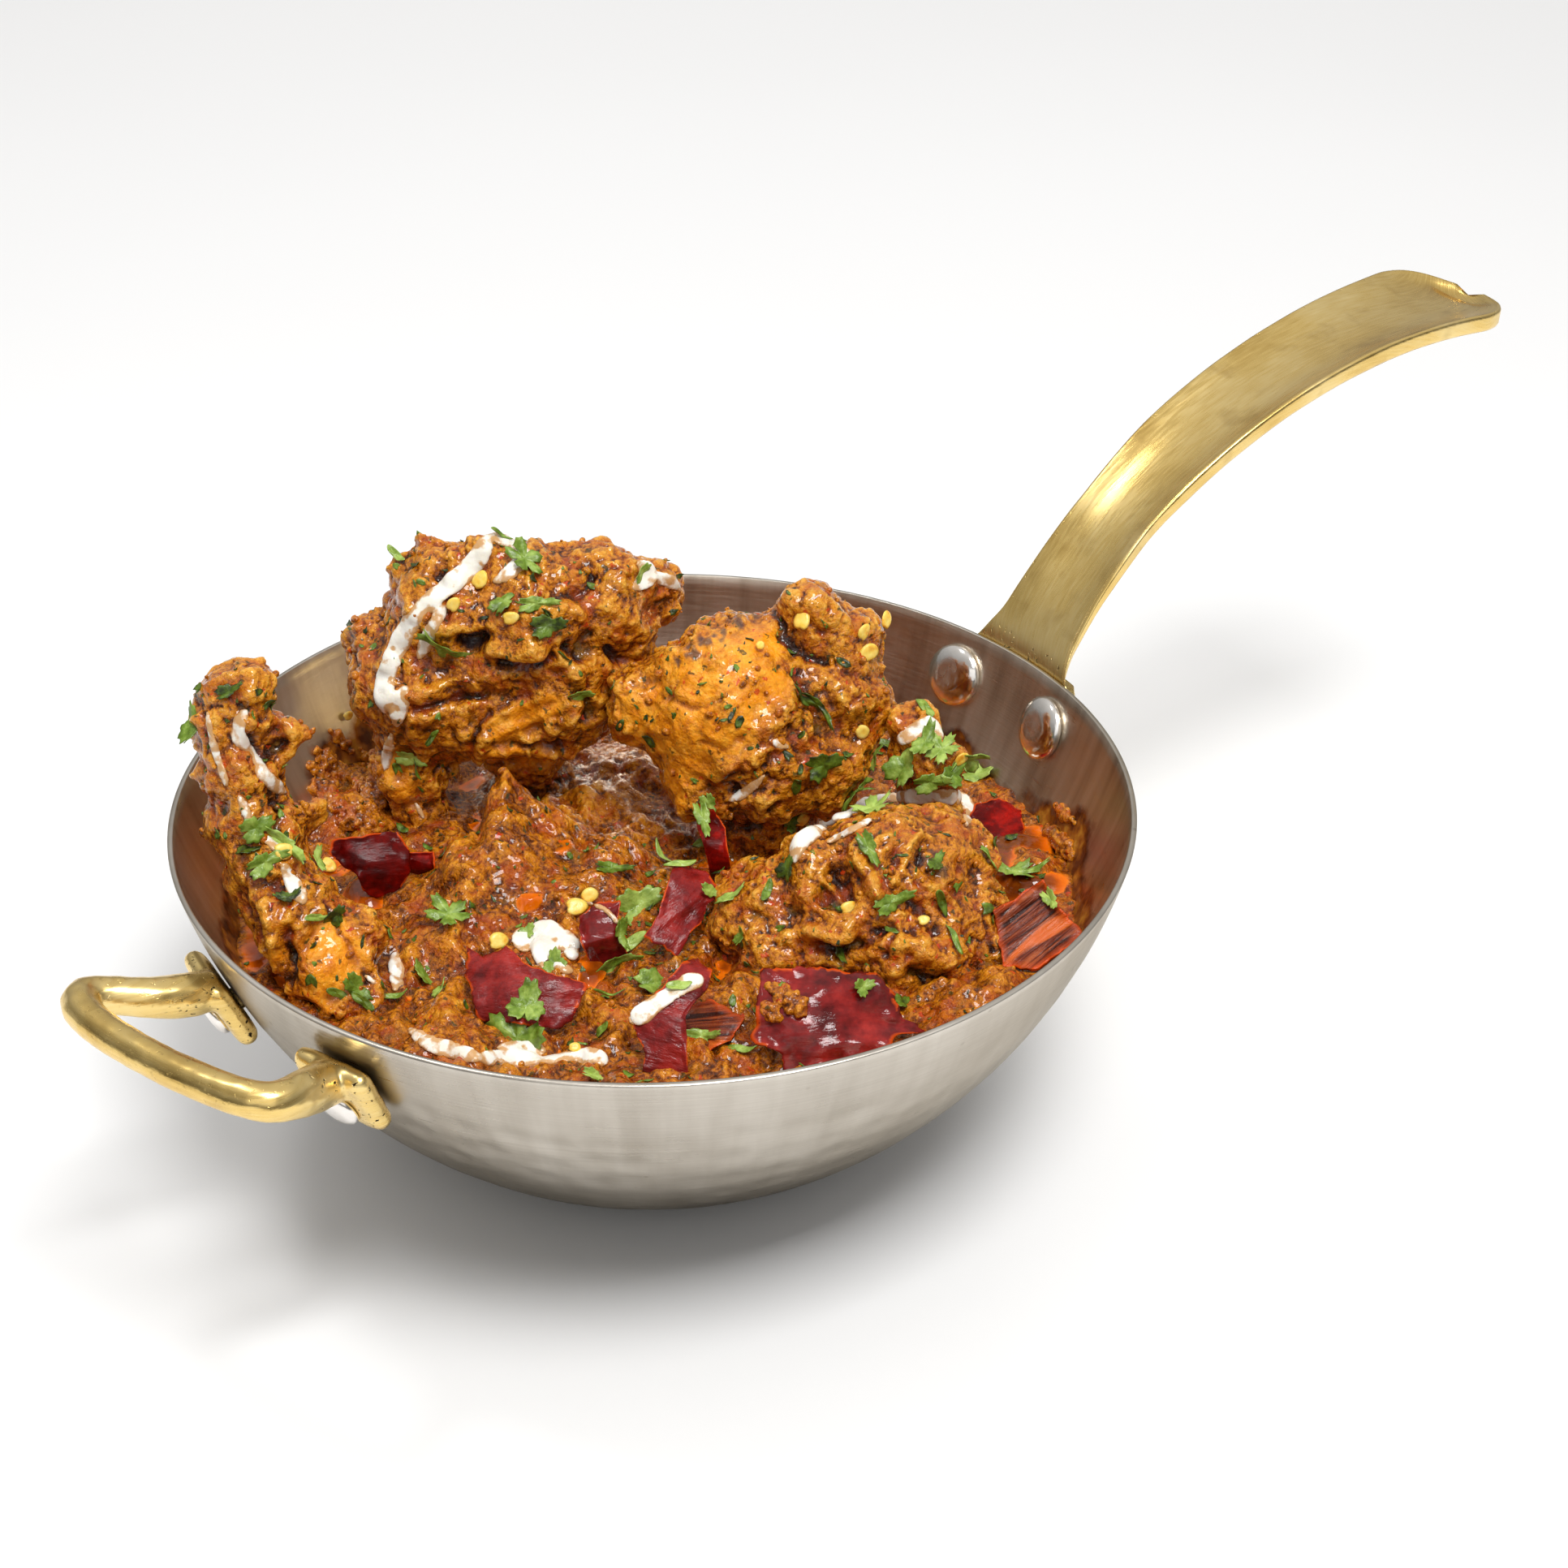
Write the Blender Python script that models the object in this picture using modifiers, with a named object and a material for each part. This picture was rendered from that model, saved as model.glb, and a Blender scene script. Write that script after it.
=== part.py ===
"""Chicken curry in a hammered steel pan with a long brass handle and a brass loop handle.

Metres, +Z up. The origin is the centre of the pan's flat base, and the long handle points along +X.
The food is laid out in a serving frame: its origin is the centre of the rim plane, +Y points away from
the diner, and it is turned from the object's frame by SERVING_TURN.
"""

import math

import bmesh
import bpy
from mathutils import Euler, Matrix, Vector, noise

MM = 0.001
GAP = 0.3 * MM  # clearance between pieces that touch

# Pan: one circular arc turned round the axis, with a flat base.
RIM_RADIUS = 100 * MM
WALL = 1.2 * MM
WALL_ARC_RADIUS = 113.4 * MM
RIM_SLOPE = math.radians(76)
BASE_RADIUS = 38 * MM
TURN_STEPS = 40
WALL_ARC_STEPS = 7

ARC_CENTRE_RADIUS = RIM_RADIUS - WALL_ARC_RADIUS * math.sin(RIM_SLOPE)
BASE_SLOPE = math.asin((BASE_RADIUS - ARC_CENTRE_RADIUS) / WALL_ARC_RADIUS)
RIM_HEIGHT = WALL_ARC_RADIUS * (math.cos(BASE_SLOPE) - math.cos(RIM_SLOPE))
ARC_CENTRE_HEIGHT = WALL_ARC_RADIUS * math.cos(BASE_SLOPE)

# Food
SERVING_TURN = math.radians(-32.6)
GRAVY_BELOW_RIM = 27 * MM

# Long handle: a gutter of cast brass that runs up from a riveted foot plate.
HANDLE_THICKNESS = 4.2 * MM
FOOT_THICKNESS = 3 * MM
TROUGH_DEPTH = 2.6 * MM
LIP_WIDTH = 1.3 * MM
HANDLE_ARCS = (  # radius, slope in degrees at its start and end
    (14.5 * MM, 76, 56.5),
    (115 * MM, 56.5, 23.5),
    (159 * MM, 23.5, -5),
    (28 * MM, -5, -20),
)
HANDLE_WIDTHS = (  # distance from the rim along the handle, full width
    (-20 * MM, 16 * MM),
    (-18.5 * MM, 30 * MM),
    (-14 * MM, 41 * MM),
    (-8 * MM, 43 * MM),
    (-3 * MM, 36 * MM),
    (1 * MM, 29.5 * MM),
    (8 * MM, 24.5 * MM),
    (20 * MM, 23 * MM),
    (40 * MM, 22.4 * MM),
    (62 * MM, 24.9 * MM),
    (90 * MM, 26.7 * MM),
    (115 * MM, 28.9 * MM),
    (135 * MM, 32.4 * MM),
    (145 * MM, 34.8 * MM),
    (150 * MM, 32.5 * MM),
    (154 * MM, 25 * MM),
    (156.4 * MM, 16 * MM),
    (157.5 * MM, 7 * MM),
)
HANDLE_STATION = 9 * MM
HANDLE_RIVET_SPREAD = 15.6 * MM
HANDLE_RIVET_DEPTH = 10.5 * MM
HANDLE_RIVET_HEAD = 7.2 * MM
HANDLE_RIVET_OFFSET = 1.3 * MM
HANDLE_RIVET_TAIL = 4 * MM
FACE_CLEARANCE = 0.4 * MM  # between the wall and the handle's foot

# Rivets
RIVET_SHANK = 2.4 * MM
RIVET_STANDOFF = 0.85 * MM  # the flat underside of a head clears the hollow wall
RIVET_DOME = 0.36  # height of a head as a share of its radius
RIVET_TAIL_HEIGHT = 2.1 * MM
RIVET_PLAY = 0.35 * MM
RIVET_STEPS = 11

# Loop handle: a brass bar between two riveted lugs.
LOOP_AZIMUTH = math.radians(-173.1)
LUG_SIZE = (17.5 * MM, 16 * MM, 4 * MM)  # across, down the wall, thickness
LUG_ROUNDING = 1.8 * MM
LUGS = {  # angle from the middle of the loop, depth below the rim
    "left": (math.radians(-12.7), 16.5 * MM),
    "right": (math.radians(13), 13.9 * MM),
}
LOOP_RIVET_DROP = 2.2 * MM  # from the middle of a lug down the wall to its rivet
LOOP_RIVET_HEAD = 5.6 * MM
LOOP_RIVET_TAIL = 4.6 * MM
LOOP_ROUTE = (  # across, out from the pan's axis, above the rim, bar radius
    (-18.5 * MM, 97.5 * MM, -12.6 * MM, 3.8 * MM),
    (-18.8 * MM, 102.5 * MM, -11.6 * MM, 4.4 * MM),
    (-20.5 * MM, 109.5 * MM, -9.8 * MM, 4.0 * MM),
    (-24.2 * MM, 116 * MM, -8 * MM, 3.7 * MM),
    (-25.5 * MM, 120.8 * MM, -6.5 * MM, 3.7 * MM),
    (-21 * MM, 124 * MM, -5.8 * MM, 3.6 * MM),
    (-10 * MM, 124.3 * MM, -5.6 * MM, 3.4 * MM),
    (6 * MM, 121.6 * MM, -5.6 * MM, 3.4 * MM),
    (20 * MM, 117.4 * MM, -5.8 * MM, 3.5 * MM),
    (25.7 * MM, 113.4 * MM, -6.5 * MM, 3.7 * MM),
    (26.2 * MM, 109 * MM, -7.6 * MM, 4.0 * MM),
    (24.4 * MM, 103.5 * MM, -9.6 * MM, 4.5 * MM),
    (22.5 * MM, 97.5 * MM, -11.6 * MM, 4.2 * MM),
)

# Chicken: each piece is a cluster of balls (x, y, z, radius in mm, serving frame) melted into one lump.
CHICKEN = {
    "chicken_left": (
        (-83, 2, 27, 7), (-85, 0, 20, 8.5), (-84, -4, 10, 9), (-83, -8, 1, 9.5), (-79, -13, -7, 10),
        (-74, -20, -15, 10.5), (-67, -26, -24, 10), (-62, -23, -18, 7), (-74, 0, 17, 4), (-71, -4, 0, 4),
        (-61, -31, -29, 7), (-64, -24, -34, 7),
    ),
    "chicken_back": (
        (-42, 48, 18, 16), (-27, 46, 17, 17.5), (-11, 48, 20, 13), (2, 50, 21, 6.5), (-54, 52, 26, 4.5),
        (-49, 52, 34, 3), (-34, 46, 34, 5), (-8, 48, 27.5, 6), (-61, 52, 10, 7), (-52, 42, 3, 14),
        (-36, 40, -1, 13), (-18, 40, 3, 13), (-54, 40, -15, 9), (-52, 40, -28, 8), (-22, 37, -6, 6.5),
        (-6, 46, 9, 8), (-30, 50, -16, 10), (-26, 50, -32, 9),
    ),
    "chicken_centre": (
        (17, 28, 4, 20), (-1, 30, 4, 10), (23, 36, 11, 11), (37, 36, 13, 11), (35, 36, 22.5, 7),
        (46, 36, 16, 6), (40, 30, 2, 13), (11, 20, -9, 10), (27, 20, -6, 13), (37, 20, -9, 9),
        (24, 26, -24, 11), (20, 24, -36, 9),
    ),
    "chicken_right": (
        (47, -12, -17, 17), (60, -8, -16, 12), (63, -17, -25, 11), (34, -14, -13, 10), (50, -26, -24, 12),
        (66, -24, -28, 5.5), (22, -14, -23, 12), (25, -24, -26, 9), (38, -24, -20, 10), (42, -12, -34, 12),
    ),
    "chicken_small": (
        (56, 22, -1, 7), (61, 15, -4, 6.5), (60, 20, -14, 8), (58, 20, -25, 8),
    ),
}
CHICKEN_VOXEL = 2.2 * MM
CHICKEN_FACES = 0.095  # share of the faces that stays
CHICKEN_LUMP = 1.6 * MM
CHICKEN_LUMP_SCALE = 9 * MM

# Dried red chilli pieces: centre (mm, serving frame), length and width (mm), turn (degrees), curl (degrees)
CHILLI = {
    "chilli_left": ((-60, 6, -19), (17, 14), (58, 0, 6), 70),
    "chilli_left_small": ((-51, 13, -22), (9, 7), (50, 0, -20), 60),
    "chilli_front": ((-27, -37, -19), (25, 21), (24, -6, -8), 60),
    "chilli_upright": ((-12, -23, -20), (8, 15), (70, 0, 10), 50),
    "chilli_middle": ((6.5, -15, -17), (23, 13), (38, -14, 48), 60),
    "chilli_narrow": ((13, -4, -16), (7, 15), (72, 0, -8), 120),
    "chilli_folded": ((2, -56, -18), (14, 26), (32, 12, -14), 100),
    "chilli_striped": ((13, -57, -22), (11, 19), (30, -20, -24), 80),
    "chilli_glossy": ((31, -56, -18), (31, 21), (38, 4, 4), 90),
    "chilli_right": ((76, -22, -21), (19, 19), (16, -22, 30), -80),
    "chilli_oil": ((73, 33, -24), (15, 20), (8, -12, 40), 50),
}
CHILLI_THICKNESS = 0.9 * MM
CHILLI_GRID = (5, 3)

# Gravy relief: mounds (x, y, height, spread in mm, serving frame)
MOUNDS = (
    (-31, 20, 14, 6), (-34, 8, 9, 8), (-42, -4, 7, 9), (-18, 12, 5, 10), (-24, -10, 3, 12), (-66, 42, 5, 10),
    (84, 6, 8, 5), (66, -46, 6, 12), (-44, -54, 6, 10), (10, -34, 5, 12), (-8, 4, 4, 10), (0, -70, 4, 14),
)
GRAVY_RINGS = (10, 21, 32, 43, 54, 65, 76)
GRAVY_EDGE = 4 * MM
RIPPLE = 1.2 * MM
RIPPLE_SCALE = 12 * MM


def clear_scene():
    for obj in list(bpy.data.objects):
        bpy.data.objects.remove(obj)


def new_collection(name):
    collection = bpy.data.collections.new(name)
    bpy.context.scene.collection.children.link(collection)
    return collection


clear_scene()
PARTS = new_collection("chicken_curry")
CUTTERS = new_collection("cutters")


def material(name, colour, roughness, metallic=0.0):
    made = bpy.data.materials.new(name)
    made.use_nodes = True
    shader = made.node_tree.nodes["Principled BSDF"]
    shader.inputs["Base Color"].default_value = (*colour, 1.0)
    shader.inputs["Roughness"].default_value = roughness
    shader.inputs["Metallic"].default_value = metallic
    return made


STEEL = material("brushed_steel", (0.50, 0.47, 0.44), 0.35, 1.0)
RIVET_STEEL = material("polished_steel", (0.60, 0.58, 0.56), 0.2, 1.0)
BRASS = material("brass", (0.78, 0.57, 0.23), 0.28, 1.0)
MASALA = material("masala", (0.30, 0.10, 0.025), 0.35)
CHICKEN_SKIN = material("chicken", (0.46, 0.17, 0.04), 0.4)
CHILLI_SKIN = material("dried_chilli", (0.20, 0.01, 0.015), 0.2)


def add_object(name, mesh, surface, collection=PARTS):
    obj = bpy.data.objects.new(name, mesh)
    collection.objects.link(obj)
    mesh.materials.clear()
    mesh.materials.append(surface)
    return obj


def mesh_from(bm, name):
    mesh = bpy.data.meshes.new(name)
    bm.to_mesh(mesh)
    bm.free()
    return mesh


def freeze(obj):
    """Replaces an object's mesh by its evaluated one, with the modifiers worked in."""
    graph = bpy.context.evaluated_depsgraph_get()
    mesh = bpy.data.meshes.new_from_object(obj.evaluated_get(graph))
    obj.modifiers.clear()
    obj.data = mesh
    return obj


def hide_cutter(cutter):
    cutter.hide_render = True
    cutter.display_type = "WIRE"
    return cutter


def cut(obj, cutter, operation="DIFFERENCE"):
    boolean = obj.modifiers.new("cut_" + cutter.name, "BOOLEAN")
    boolean.operation = operation
    boolean.object = cutter


def grown_cutter(obj, growth):
    """A cutter of the object's shape, larger all round by the growth."""
    cutter = add_object(obj.name + "_room", obj.data.copy(), obj.data.materials[0], CUTTERS)
    cutter.matrix_world = obj.matrix_world.copy()
    displace = cutter.modifiers.new("grow", "DISPLACE")
    displace.mid_level = 0.0
    displace.strength = growth
    return hide_cutter(cutter)


def turned(name, profile, surface, collection=PARTS, steps=TURN_STEPS):
    """A profile of (radius, height) points, which runs down the outer side, turned round Z."""
    bm = bmesh.new()
    points = [bm.verts.new((radius, 0, height)) for radius, height in profile]
    for upper, lower in zip(points, points[1:]):
        bm.edges.new((upper, lower))
    obj = add_object(name, mesh_from(bm, name), surface, collection)
    screw = obj.modifiers.new("turn", "SCREW")
    screw.steps = steps
    screw.render_steps = steps
    screw.use_merge_vertices = True
    screw.merge_threshold = 0.01 * MM
    screw.use_smooth_shade = True
    return obj


def wall_point(slope, inset=0.0):
    """(radius, height) on the pan's wall where it has this slope, moved in from the outer face."""
    radius = WALL_ARC_RADIUS - inset
    return (
        ARC_CENTRE_RADIUS + radius * math.sin(slope),
        ARC_CENTRE_HEIGHT - radius * math.cos(slope),
    )


def slope_at_depth(depth):
    """The slope of the outer wall at this depth below the rim."""
    return math.acos((ARC_CENTRE_HEIGHT - RIM_HEIGHT + depth) / WALL_ARC_RADIUS)


def wall_arc(inset, top_slope, bottom_slope, steps=WALL_ARC_STEPS):
    """Points down the wall from one slope to another."""
    return [
        wall_point(top_slope + (bottom_slope - top_slope) * step / steps, inset)
        for step in range(steps + 1)
    ]


def wall_frame(azimuth, depth):
    """Place and axes on the outer wall: local X runs round the pan, Y up the wall and Z outward."""
    slope = slope_at_depth(depth)
    radius, height = wall_point(slope)
    outward = Vector((math.sin(slope) * math.cos(azimuth), math.sin(slope) * math.sin(azimuth), -math.cos(slope)))
    round_pan = Vector((-math.sin(azimuth), math.cos(azimuth), 0))
    up_wall = outward.cross(round_pan)
    frame = Matrix((round_pan, up_wall, outward)).transposed().to_4x4()
    frame.translation = (radius * math.cos(azimuth), radius * math.sin(azimuth), height)
    return frame


def floor_slope(inset):
    """The slope at which the wall, moved in by the inset, meets the floor moved up by as much."""
    return math.acos((ARC_CENTRE_HEIGHT - inset) / (WALL_ARC_RADIUS - inset))


def make_pan():
    inner = wall_arc(WALL, RIM_SLOPE, floor_slope(WALL))[::-1]
    outer = wall_arc(0.0, RIM_SLOPE, BASE_SLOPE)
    crest_radius, crest_height = wall_point(RIM_SLOPE, WALL / 2)
    rim_crest = (crest_radius, crest_height + WALL / 5)
    return turned("pan", [(0, WALL), *inner, rim_crest, *outer, (0, 0)], STEEL)


def rivet_grip(plate):
    """The depth of the shank from the wall's inner face to the tail, through the wall and a plate."""
    return WALL + 2 * GAP + plate + RIVET_PLAY


def rivet_profile(head, grip, tail):
    """A domed head, a shank that grips the plates, and a flatter tail."""
    dome = [
        (head * math.sin(angle), RIVET_STANDOFF + head * RIVET_DOME * math.cos(angle))
        for angle in (math.radians(degrees) for degrees in (0, 36, 66, 84))
    ]
    return [
        *dome,
        (head * 0.97, RIVET_STANDOFF),
        (RIVET_SHANK, RIVET_STANDOFF),
        (RIVET_SHANK, -grip),
        (tail, -grip),
        (tail, -grip - 0.45 * RIVET_TAIL_HEIGHT),
        (tail * 0.6, -grip - 0.9 * RIVET_TAIL_HEIGHT),
        (0, -grip - RIVET_TAIL_HEIGHT),
    ]


def make_rivet(name, azimuth, depth, head, plate, tail):
    """A rivet with its head inside the pan, through the wall and a plate outside it, and its cutter."""
    grip = rivet_grip(plate)
    frame = wall_frame(azimuth, depth) @ Matrix.Rotation(math.pi, 4, "X") @ Matrix.Translation((0, 0, WALL))
    rivet = turned(name, rivet_profile(head, grip, tail), RIVET_STEEL, steps=RIVET_STEPS)
    rivet.matrix_world = frame
    bore = RIVET_SHANK + GAP
    room = tail + GAP
    top, step, bottom = 6 * MM, -grip + GAP, -24 * MM
    profile = [(0, top), (bore, top), (bore, step), (room, step), (room, bottom), (0, bottom)]
    hole = hide_cutter(turned(name + "_hole", profile, RIVET_STEEL, CUTTERS, RIVET_STEPS))
    hole.matrix_world = frame
    return hole


def between(table, at):
    """The value at a place in a table of (place, value) pairs, in straight lines between them."""
    if at <= table[0][0]:
        return table[0][1]
    for (start, low), (end, high) in zip(table, table[1:]):
        if at <= end:
            share = (at - start) / (end - start)
            return low + (high - low) * share
    return table[-1][1]


def handle_path(distance):
    """(out, up, slope) of the handle's upper face at a distance along it from the rim, on the XZ plane."""
    if distance < 0:
        slope = RIM_SLOPE + distance / WALL_ARC_RADIUS
        radius, height = wall_point(slope, -FACE_CLEARANCE)
        return radius, height, slope
    out, up, slope = *wall_point(RIM_SLOPE, -FACE_CLEARANCE), RIM_SLOPE
    for radius, start, end in HANDLE_ARCS:
        first = math.radians(start)
        turn = min(distance / radius, first - math.radians(end))
        slope = first - turn
        out += radius * (math.sin(first) - math.sin(slope))
        up += radius * (math.cos(slope) - math.cos(first))
        distance -= turn * radius
    return out, up, slope


def handle_ring(distance):
    """The closed section of the gutter at a distance along the handle, as points in the object's frame."""
    out, up, slope = handle_path(distance)
    half = between(HANDLE_WIDTHS, distance) / 2
    rise = min(max(distance / (30 * MM), 0.0), 1.0)
    depth = TROUGH_DEPTH * rise * min(1.0, half / (11 * MM))
    side = FOOT_THICKNESS + (HANDLE_THICKNESS - FOOT_THICKNESS) * rise
    hug = 1.0 - min(max(distance / (12 * MM), 0.0), 1.0)
    lip = min(LIP_WIDTH, half * 0.3)
    section = [
        (-half, -0.35 * lip),
        (-half + 0.5 * lip, 0),
        (-half + 1.6 * lip, -0.3 * depth),
        (-half * 0.5, -0.85 * depth),
        (0, -depth),
        (half * 0.5, -0.85 * depth),
        (half - 1.6 * lip, -0.3 * depth),
        (half - 0.5 * lip, 0),
        (half, -0.35 * lip),
        (half, -side + 0.3 * lip),
        (half - 0.5 * lip, -side),
        (0, -side - 0.6 * MM * rise),
        (-half + 0.5 * lip, -side),
        (-half, -side + 0.3 * lip),
    ]
    ring = []
    for across, normal in section:
        sag = hug * (out - math.sqrt(out * out - across * across))
        ring.append(Vector((out - sag - normal * math.sin(slope), across, up + normal * math.cos(slope))))
    return ring


def loft(name, rings, surface):
    """A closed solid through rings of as many points each, with flat ends."""
    bm = bmesh.new()
    made = [[bm.verts.new(point) for point in ring] for ring in rings]
    for near, far in zip(made, made[1:]):
        for index in range(len(near)):
            after = (index + 1) % len(near)
            bm.faces.new((near[index], near[after], far[after], far[index]))
    bm.faces.new(made[0][::-1])
    bm.faces.new(made[-1])
    bmesh.ops.recalc_face_normals(bm, faces=bm.faces)
    return add_object(name, mesh_from(bm, name), surface)


def handle_length():
    return sum(radius * math.radians(start - end) for radius, start, end in HANDLE_ARCS)


def make_long_handle():
    length = handle_length()
    places = {distance for distance, width in HANDLE_WIDTHS if distance < length}
    count = int(length / HANDLE_STATION)
    places |= {length * step / count for step in range(1, count)}
    ordered = sorted(places)
    stations = [place for place, after in zip(ordered, ordered[1:]) if after - place > 1.5 * MM]
    rings = [handle_ring(place) for place in [*stations, length]]
    return loft("long_handle", rings, BRASS)


def smooth_route(points, steps):
    """Points along a curve that passes through every given point (Catmull-Rom)."""
    padded = [points[0], *points, points[-1]]
    route = []
    for before, start, end, after in zip(padded, padded[1:], padded[2:], padded[3:]):
        for step in range(steps):
            t = step / steps
            route.append(
                [
                    0.5 * (2 * b + (c - a) * t + (2 * a - 5 * b + 4 * c - d) * t**2 + (3 * b - a - 3 * c + d) * t**3)
                    for a, b, c, d in zip(before, start, end, after)
                ]
            )
    route.append(list(points[-1]))
    return route


def loop_point(across, out, above):
    """A point of the loop handle in the object's frame."""
    turn = Matrix.Rotation(LOOP_AZIMUTH, 4, "Z")
    return turn @ Vector((out, across, RIM_HEIGHT + above))


def make_bar(name, route, surface, collection):
    """A round bar of varying radius along a route of (x, y, z, radius), as a closed mesh."""
    curve = bpy.data.curves.new(name, "CURVE")
    curve.dimensions = "3D"
    curve.bevel_depth = 1.0
    curve.bevel_resolution = 2
    curve.use_fill_caps = True
    spline = curve.splines.new("POLY")
    spline.points.add(len(route) - 1)
    for point, (x, y, z, radius) in zip(spline.points, route):
        point.co = (x, y, z, 1)
        point.radius = radius
    guide = bpy.data.objects.new(name + "_curve", curve)
    CUTTERS.objects.link(guide)
    graph = bpy.context.evaluated_depsgraph_get()
    mesh = bpy.data.meshes.new_from_object(guide.evaluated_get(graph))
    bpy.data.objects.remove(guide)
    bm = bmesh.new()
    bm.from_mesh(mesh)
    bmesh.ops.remove_doubles(bm, verts=bm.verts, dist=0.01 * MM)
    bmesh.ops.recalc_face_normals(bm, faces=bm.faces)
    return add_object(name, mesh_from(bm, name), surface, collection)


def make_lug(name, azimuth, depth):
    """A plate with rounded edges that lies along the outer wall."""
    bm = bmesh.new()
    bmesh.ops.create_cube(bm, size=1.0)
    bmesh.ops.scale(bm, vec=LUG_SIZE, verts=bm.verts)
    lug = add_object(name, mesh_from(bm, name), BRASS, CUTTERS)
    bevel = lug.modifiers.new("round", "BEVEL")
    bevel.width = LUG_ROUNDING
    bevel.segments = 2
    frame = wall_frame(azimuth, depth)
    lug.matrix_world = frame @ Matrix.Translation((0, 0, LUG_SIZE[2] / 2 + 2 * GAP))
    return hide_cutter(lug)


def pan_envelope():
    """The pan's outer form grown by the gap, which cuts what is fitted to the wall."""
    grown = wall_arc(-GAP, RIM_SLOPE, BASE_SLOPE)
    profile = [(0, RIM_HEIGHT + 30 * MM), (grown[0][0], RIM_HEIGHT + 30 * MM), *grown, (0, 0)]
    return hide_cutter(turned("pan_envelope", profile, STEEL, CUTTERS))


def make_loop_handle():
    route = [
        (*loop_point(across, out, above), radius)
        for across, out, above, radius in smooth_route(LOOP_ROUTE, 2)
    ]
    handle = make_bar("loop_handle", route, BRASS, PARTS)
    for label, (angle, depth) in LUGS.items():
        cut(handle, make_lug("lug_" + label, LOOP_AZIMUTH + angle, depth), "UNION")
    cut(handle, pan_envelope())
    return handle


def serving_matrix():
    return Matrix.Translation((0, 0, RIM_HEIGHT)) @ Matrix.Rotation(SERVING_TURN, 4, "Z")


def make_chicken(name, balls):
    """Balls melted into one lump by a voxel remesh, roughened and thinned."""
    bm = bmesh.new()
    for x, y, z, radius in balls:
        place = Matrix.Translation(Vector((x, y, z)) * MM)
        bmesh.ops.create_icosphere(bm, subdivisions=3, radius=radius * MM, matrix=place)
    lump = add_object(name, mesh_from(bm, name), CHICKEN_SKIN)
    lump.matrix_world = serving_matrix()
    remesh = lump.modifiers.new("melt", "REMESH")
    remesh.mode = "VOXEL"
    remesh.voxel_size = CHICKEN_VOXEL
    smooth = lump.modifiers.new("smooth", "SMOOTH")
    smooth.factor = 0.5
    smooth.iterations = 3
    grain = bpy.data.textures.new(name + "_lumps", "CLOUDS")
    grain.noise_scale = CHICKEN_LUMP_SCALE
    rough = lump.modifiers.new("rough", "DISPLACE")
    rough.texture = grain
    rough.strength = 2 * CHICKEN_LUMP
    thin = lump.modifiers.new("thin", "DECIMATE")
    thin.ratio = CHICKEN_FACES
    return freeze(lump)


def make_chilli(name, centre, size, turn, curl):
    """A leaf of dried chilli skin: a grid rolled about its length, with an uneven edge."""
    columns, rows = CHILLI_GRID
    bm = bmesh.new()
    bmesh.ops.create_grid(bm, x_segments=columns, y_segments=rows, size=0.5)
    length, width = size[0] * MM, size[1] * MM
    roll = width / math.radians(curl)
    for vert in bm.verts:
        along, across = vert.co.x, vert.co.y
        ragged = 1 + 0.16 * noise.noise(Vector((along * 4, across * 4, centre[0])))
        angle = across * ragged * width / roll
        sag = 0.25 * width * along * along * math.copysign(1, curl)
        vert.co = (along * ragged * length, roll * math.sin(angle), roll * (math.cos(angle) - 1) - sag)
    leaf = add_object(name, mesh_from(bm, name), CHILLI_SKIN)
    place = Matrix.Translation(Vector(centre) * MM) @ Euler([math.radians(t) for t in turn]).to_matrix().to_4x4()
    leaf.matrix_world = serving_matrix() @ place
    shell = leaf.modifiers.new("skin", "SOLIDIFY")
    shell.thickness = CHILLI_THICKNESS
    shell.offset = 0.0
    return freeze(leaf)


def gravy_height(x, y):
    """Height of the gravy over its resting level at a place in the serving frame."""
    height = sum(
        mound * math.exp(-((x / MM - at_x) ** 2 + (y / MM - at_y) ** 2) / (2 * spread * spread))
        for at_x, at_y, mound, spread in MOUNDS
    )
    ripple = noise.noise(Vector((x, y, 0)) / RIPPLE_SCALE)
    return height * MM + RIPPLE * ripple


def make_gravy():
    """The gravy fills the bowl to its level, less the gap to the pan, and its top is uneven."""
    inset = WALL + GAP
    level = RIM_HEIGHT - GRAVY_BELOW_RIM
    top_slope = math.acos((ARC_CENTRE_HEIGHT - level) / (WALL_ARC_RADIUS - inset))
    top = [(0, level), *((radius * MM, level) for radius in GRAVY_RINGS)]
    side = wall_arc(inset, top_slope, floor_slope(inset), WALL_ARC_STEPS - 2)
    gravy = freeze(turned("gravy", [*top, *side, (0, inset)], MASALA))
    to_serving = serving_matrix().inverted()
    edge = side[0][0]
    for vert in gravy.data.vertices:
        radius = math.hypot(vert.co.x, vert.co.y)
        if vert.co.z < level - 0.01 * MM or radius > edge - GRAVY_EDGE:
            continue
        place = to_serving @ vert.co
        vert.co.z += gravy_height(place.x, place.y)
    return gravy


def bowl_room():
    """The space inside the pan, less the gap, open far above the rim."""
    inset = WALL + GAP
    side = wall_arc(inset, RIM_SLOPE, floor_slope(inset))
    roof = RIM_HEIGHT + 80 * MM
    return hide_cutter(turned("bowl_room", [(0, roof), (side[0][0], roof), *side, (0, inset)], MASALA, CUTTERS))


def cut_in_turn(pieces):
    """Each piece keeps inside the pan and gives way to those before it, with clearance."""
    inside = bowl_room()
    rooms = []
    for piece in pieces:
        cut(piece, inside, "INTERSECT")
        for room in rooms:
            cut(piece, room)
        freeze(piece)
        rooms.append(grown_cutter(piece, 2 * GAP))
    return rooms


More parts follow.
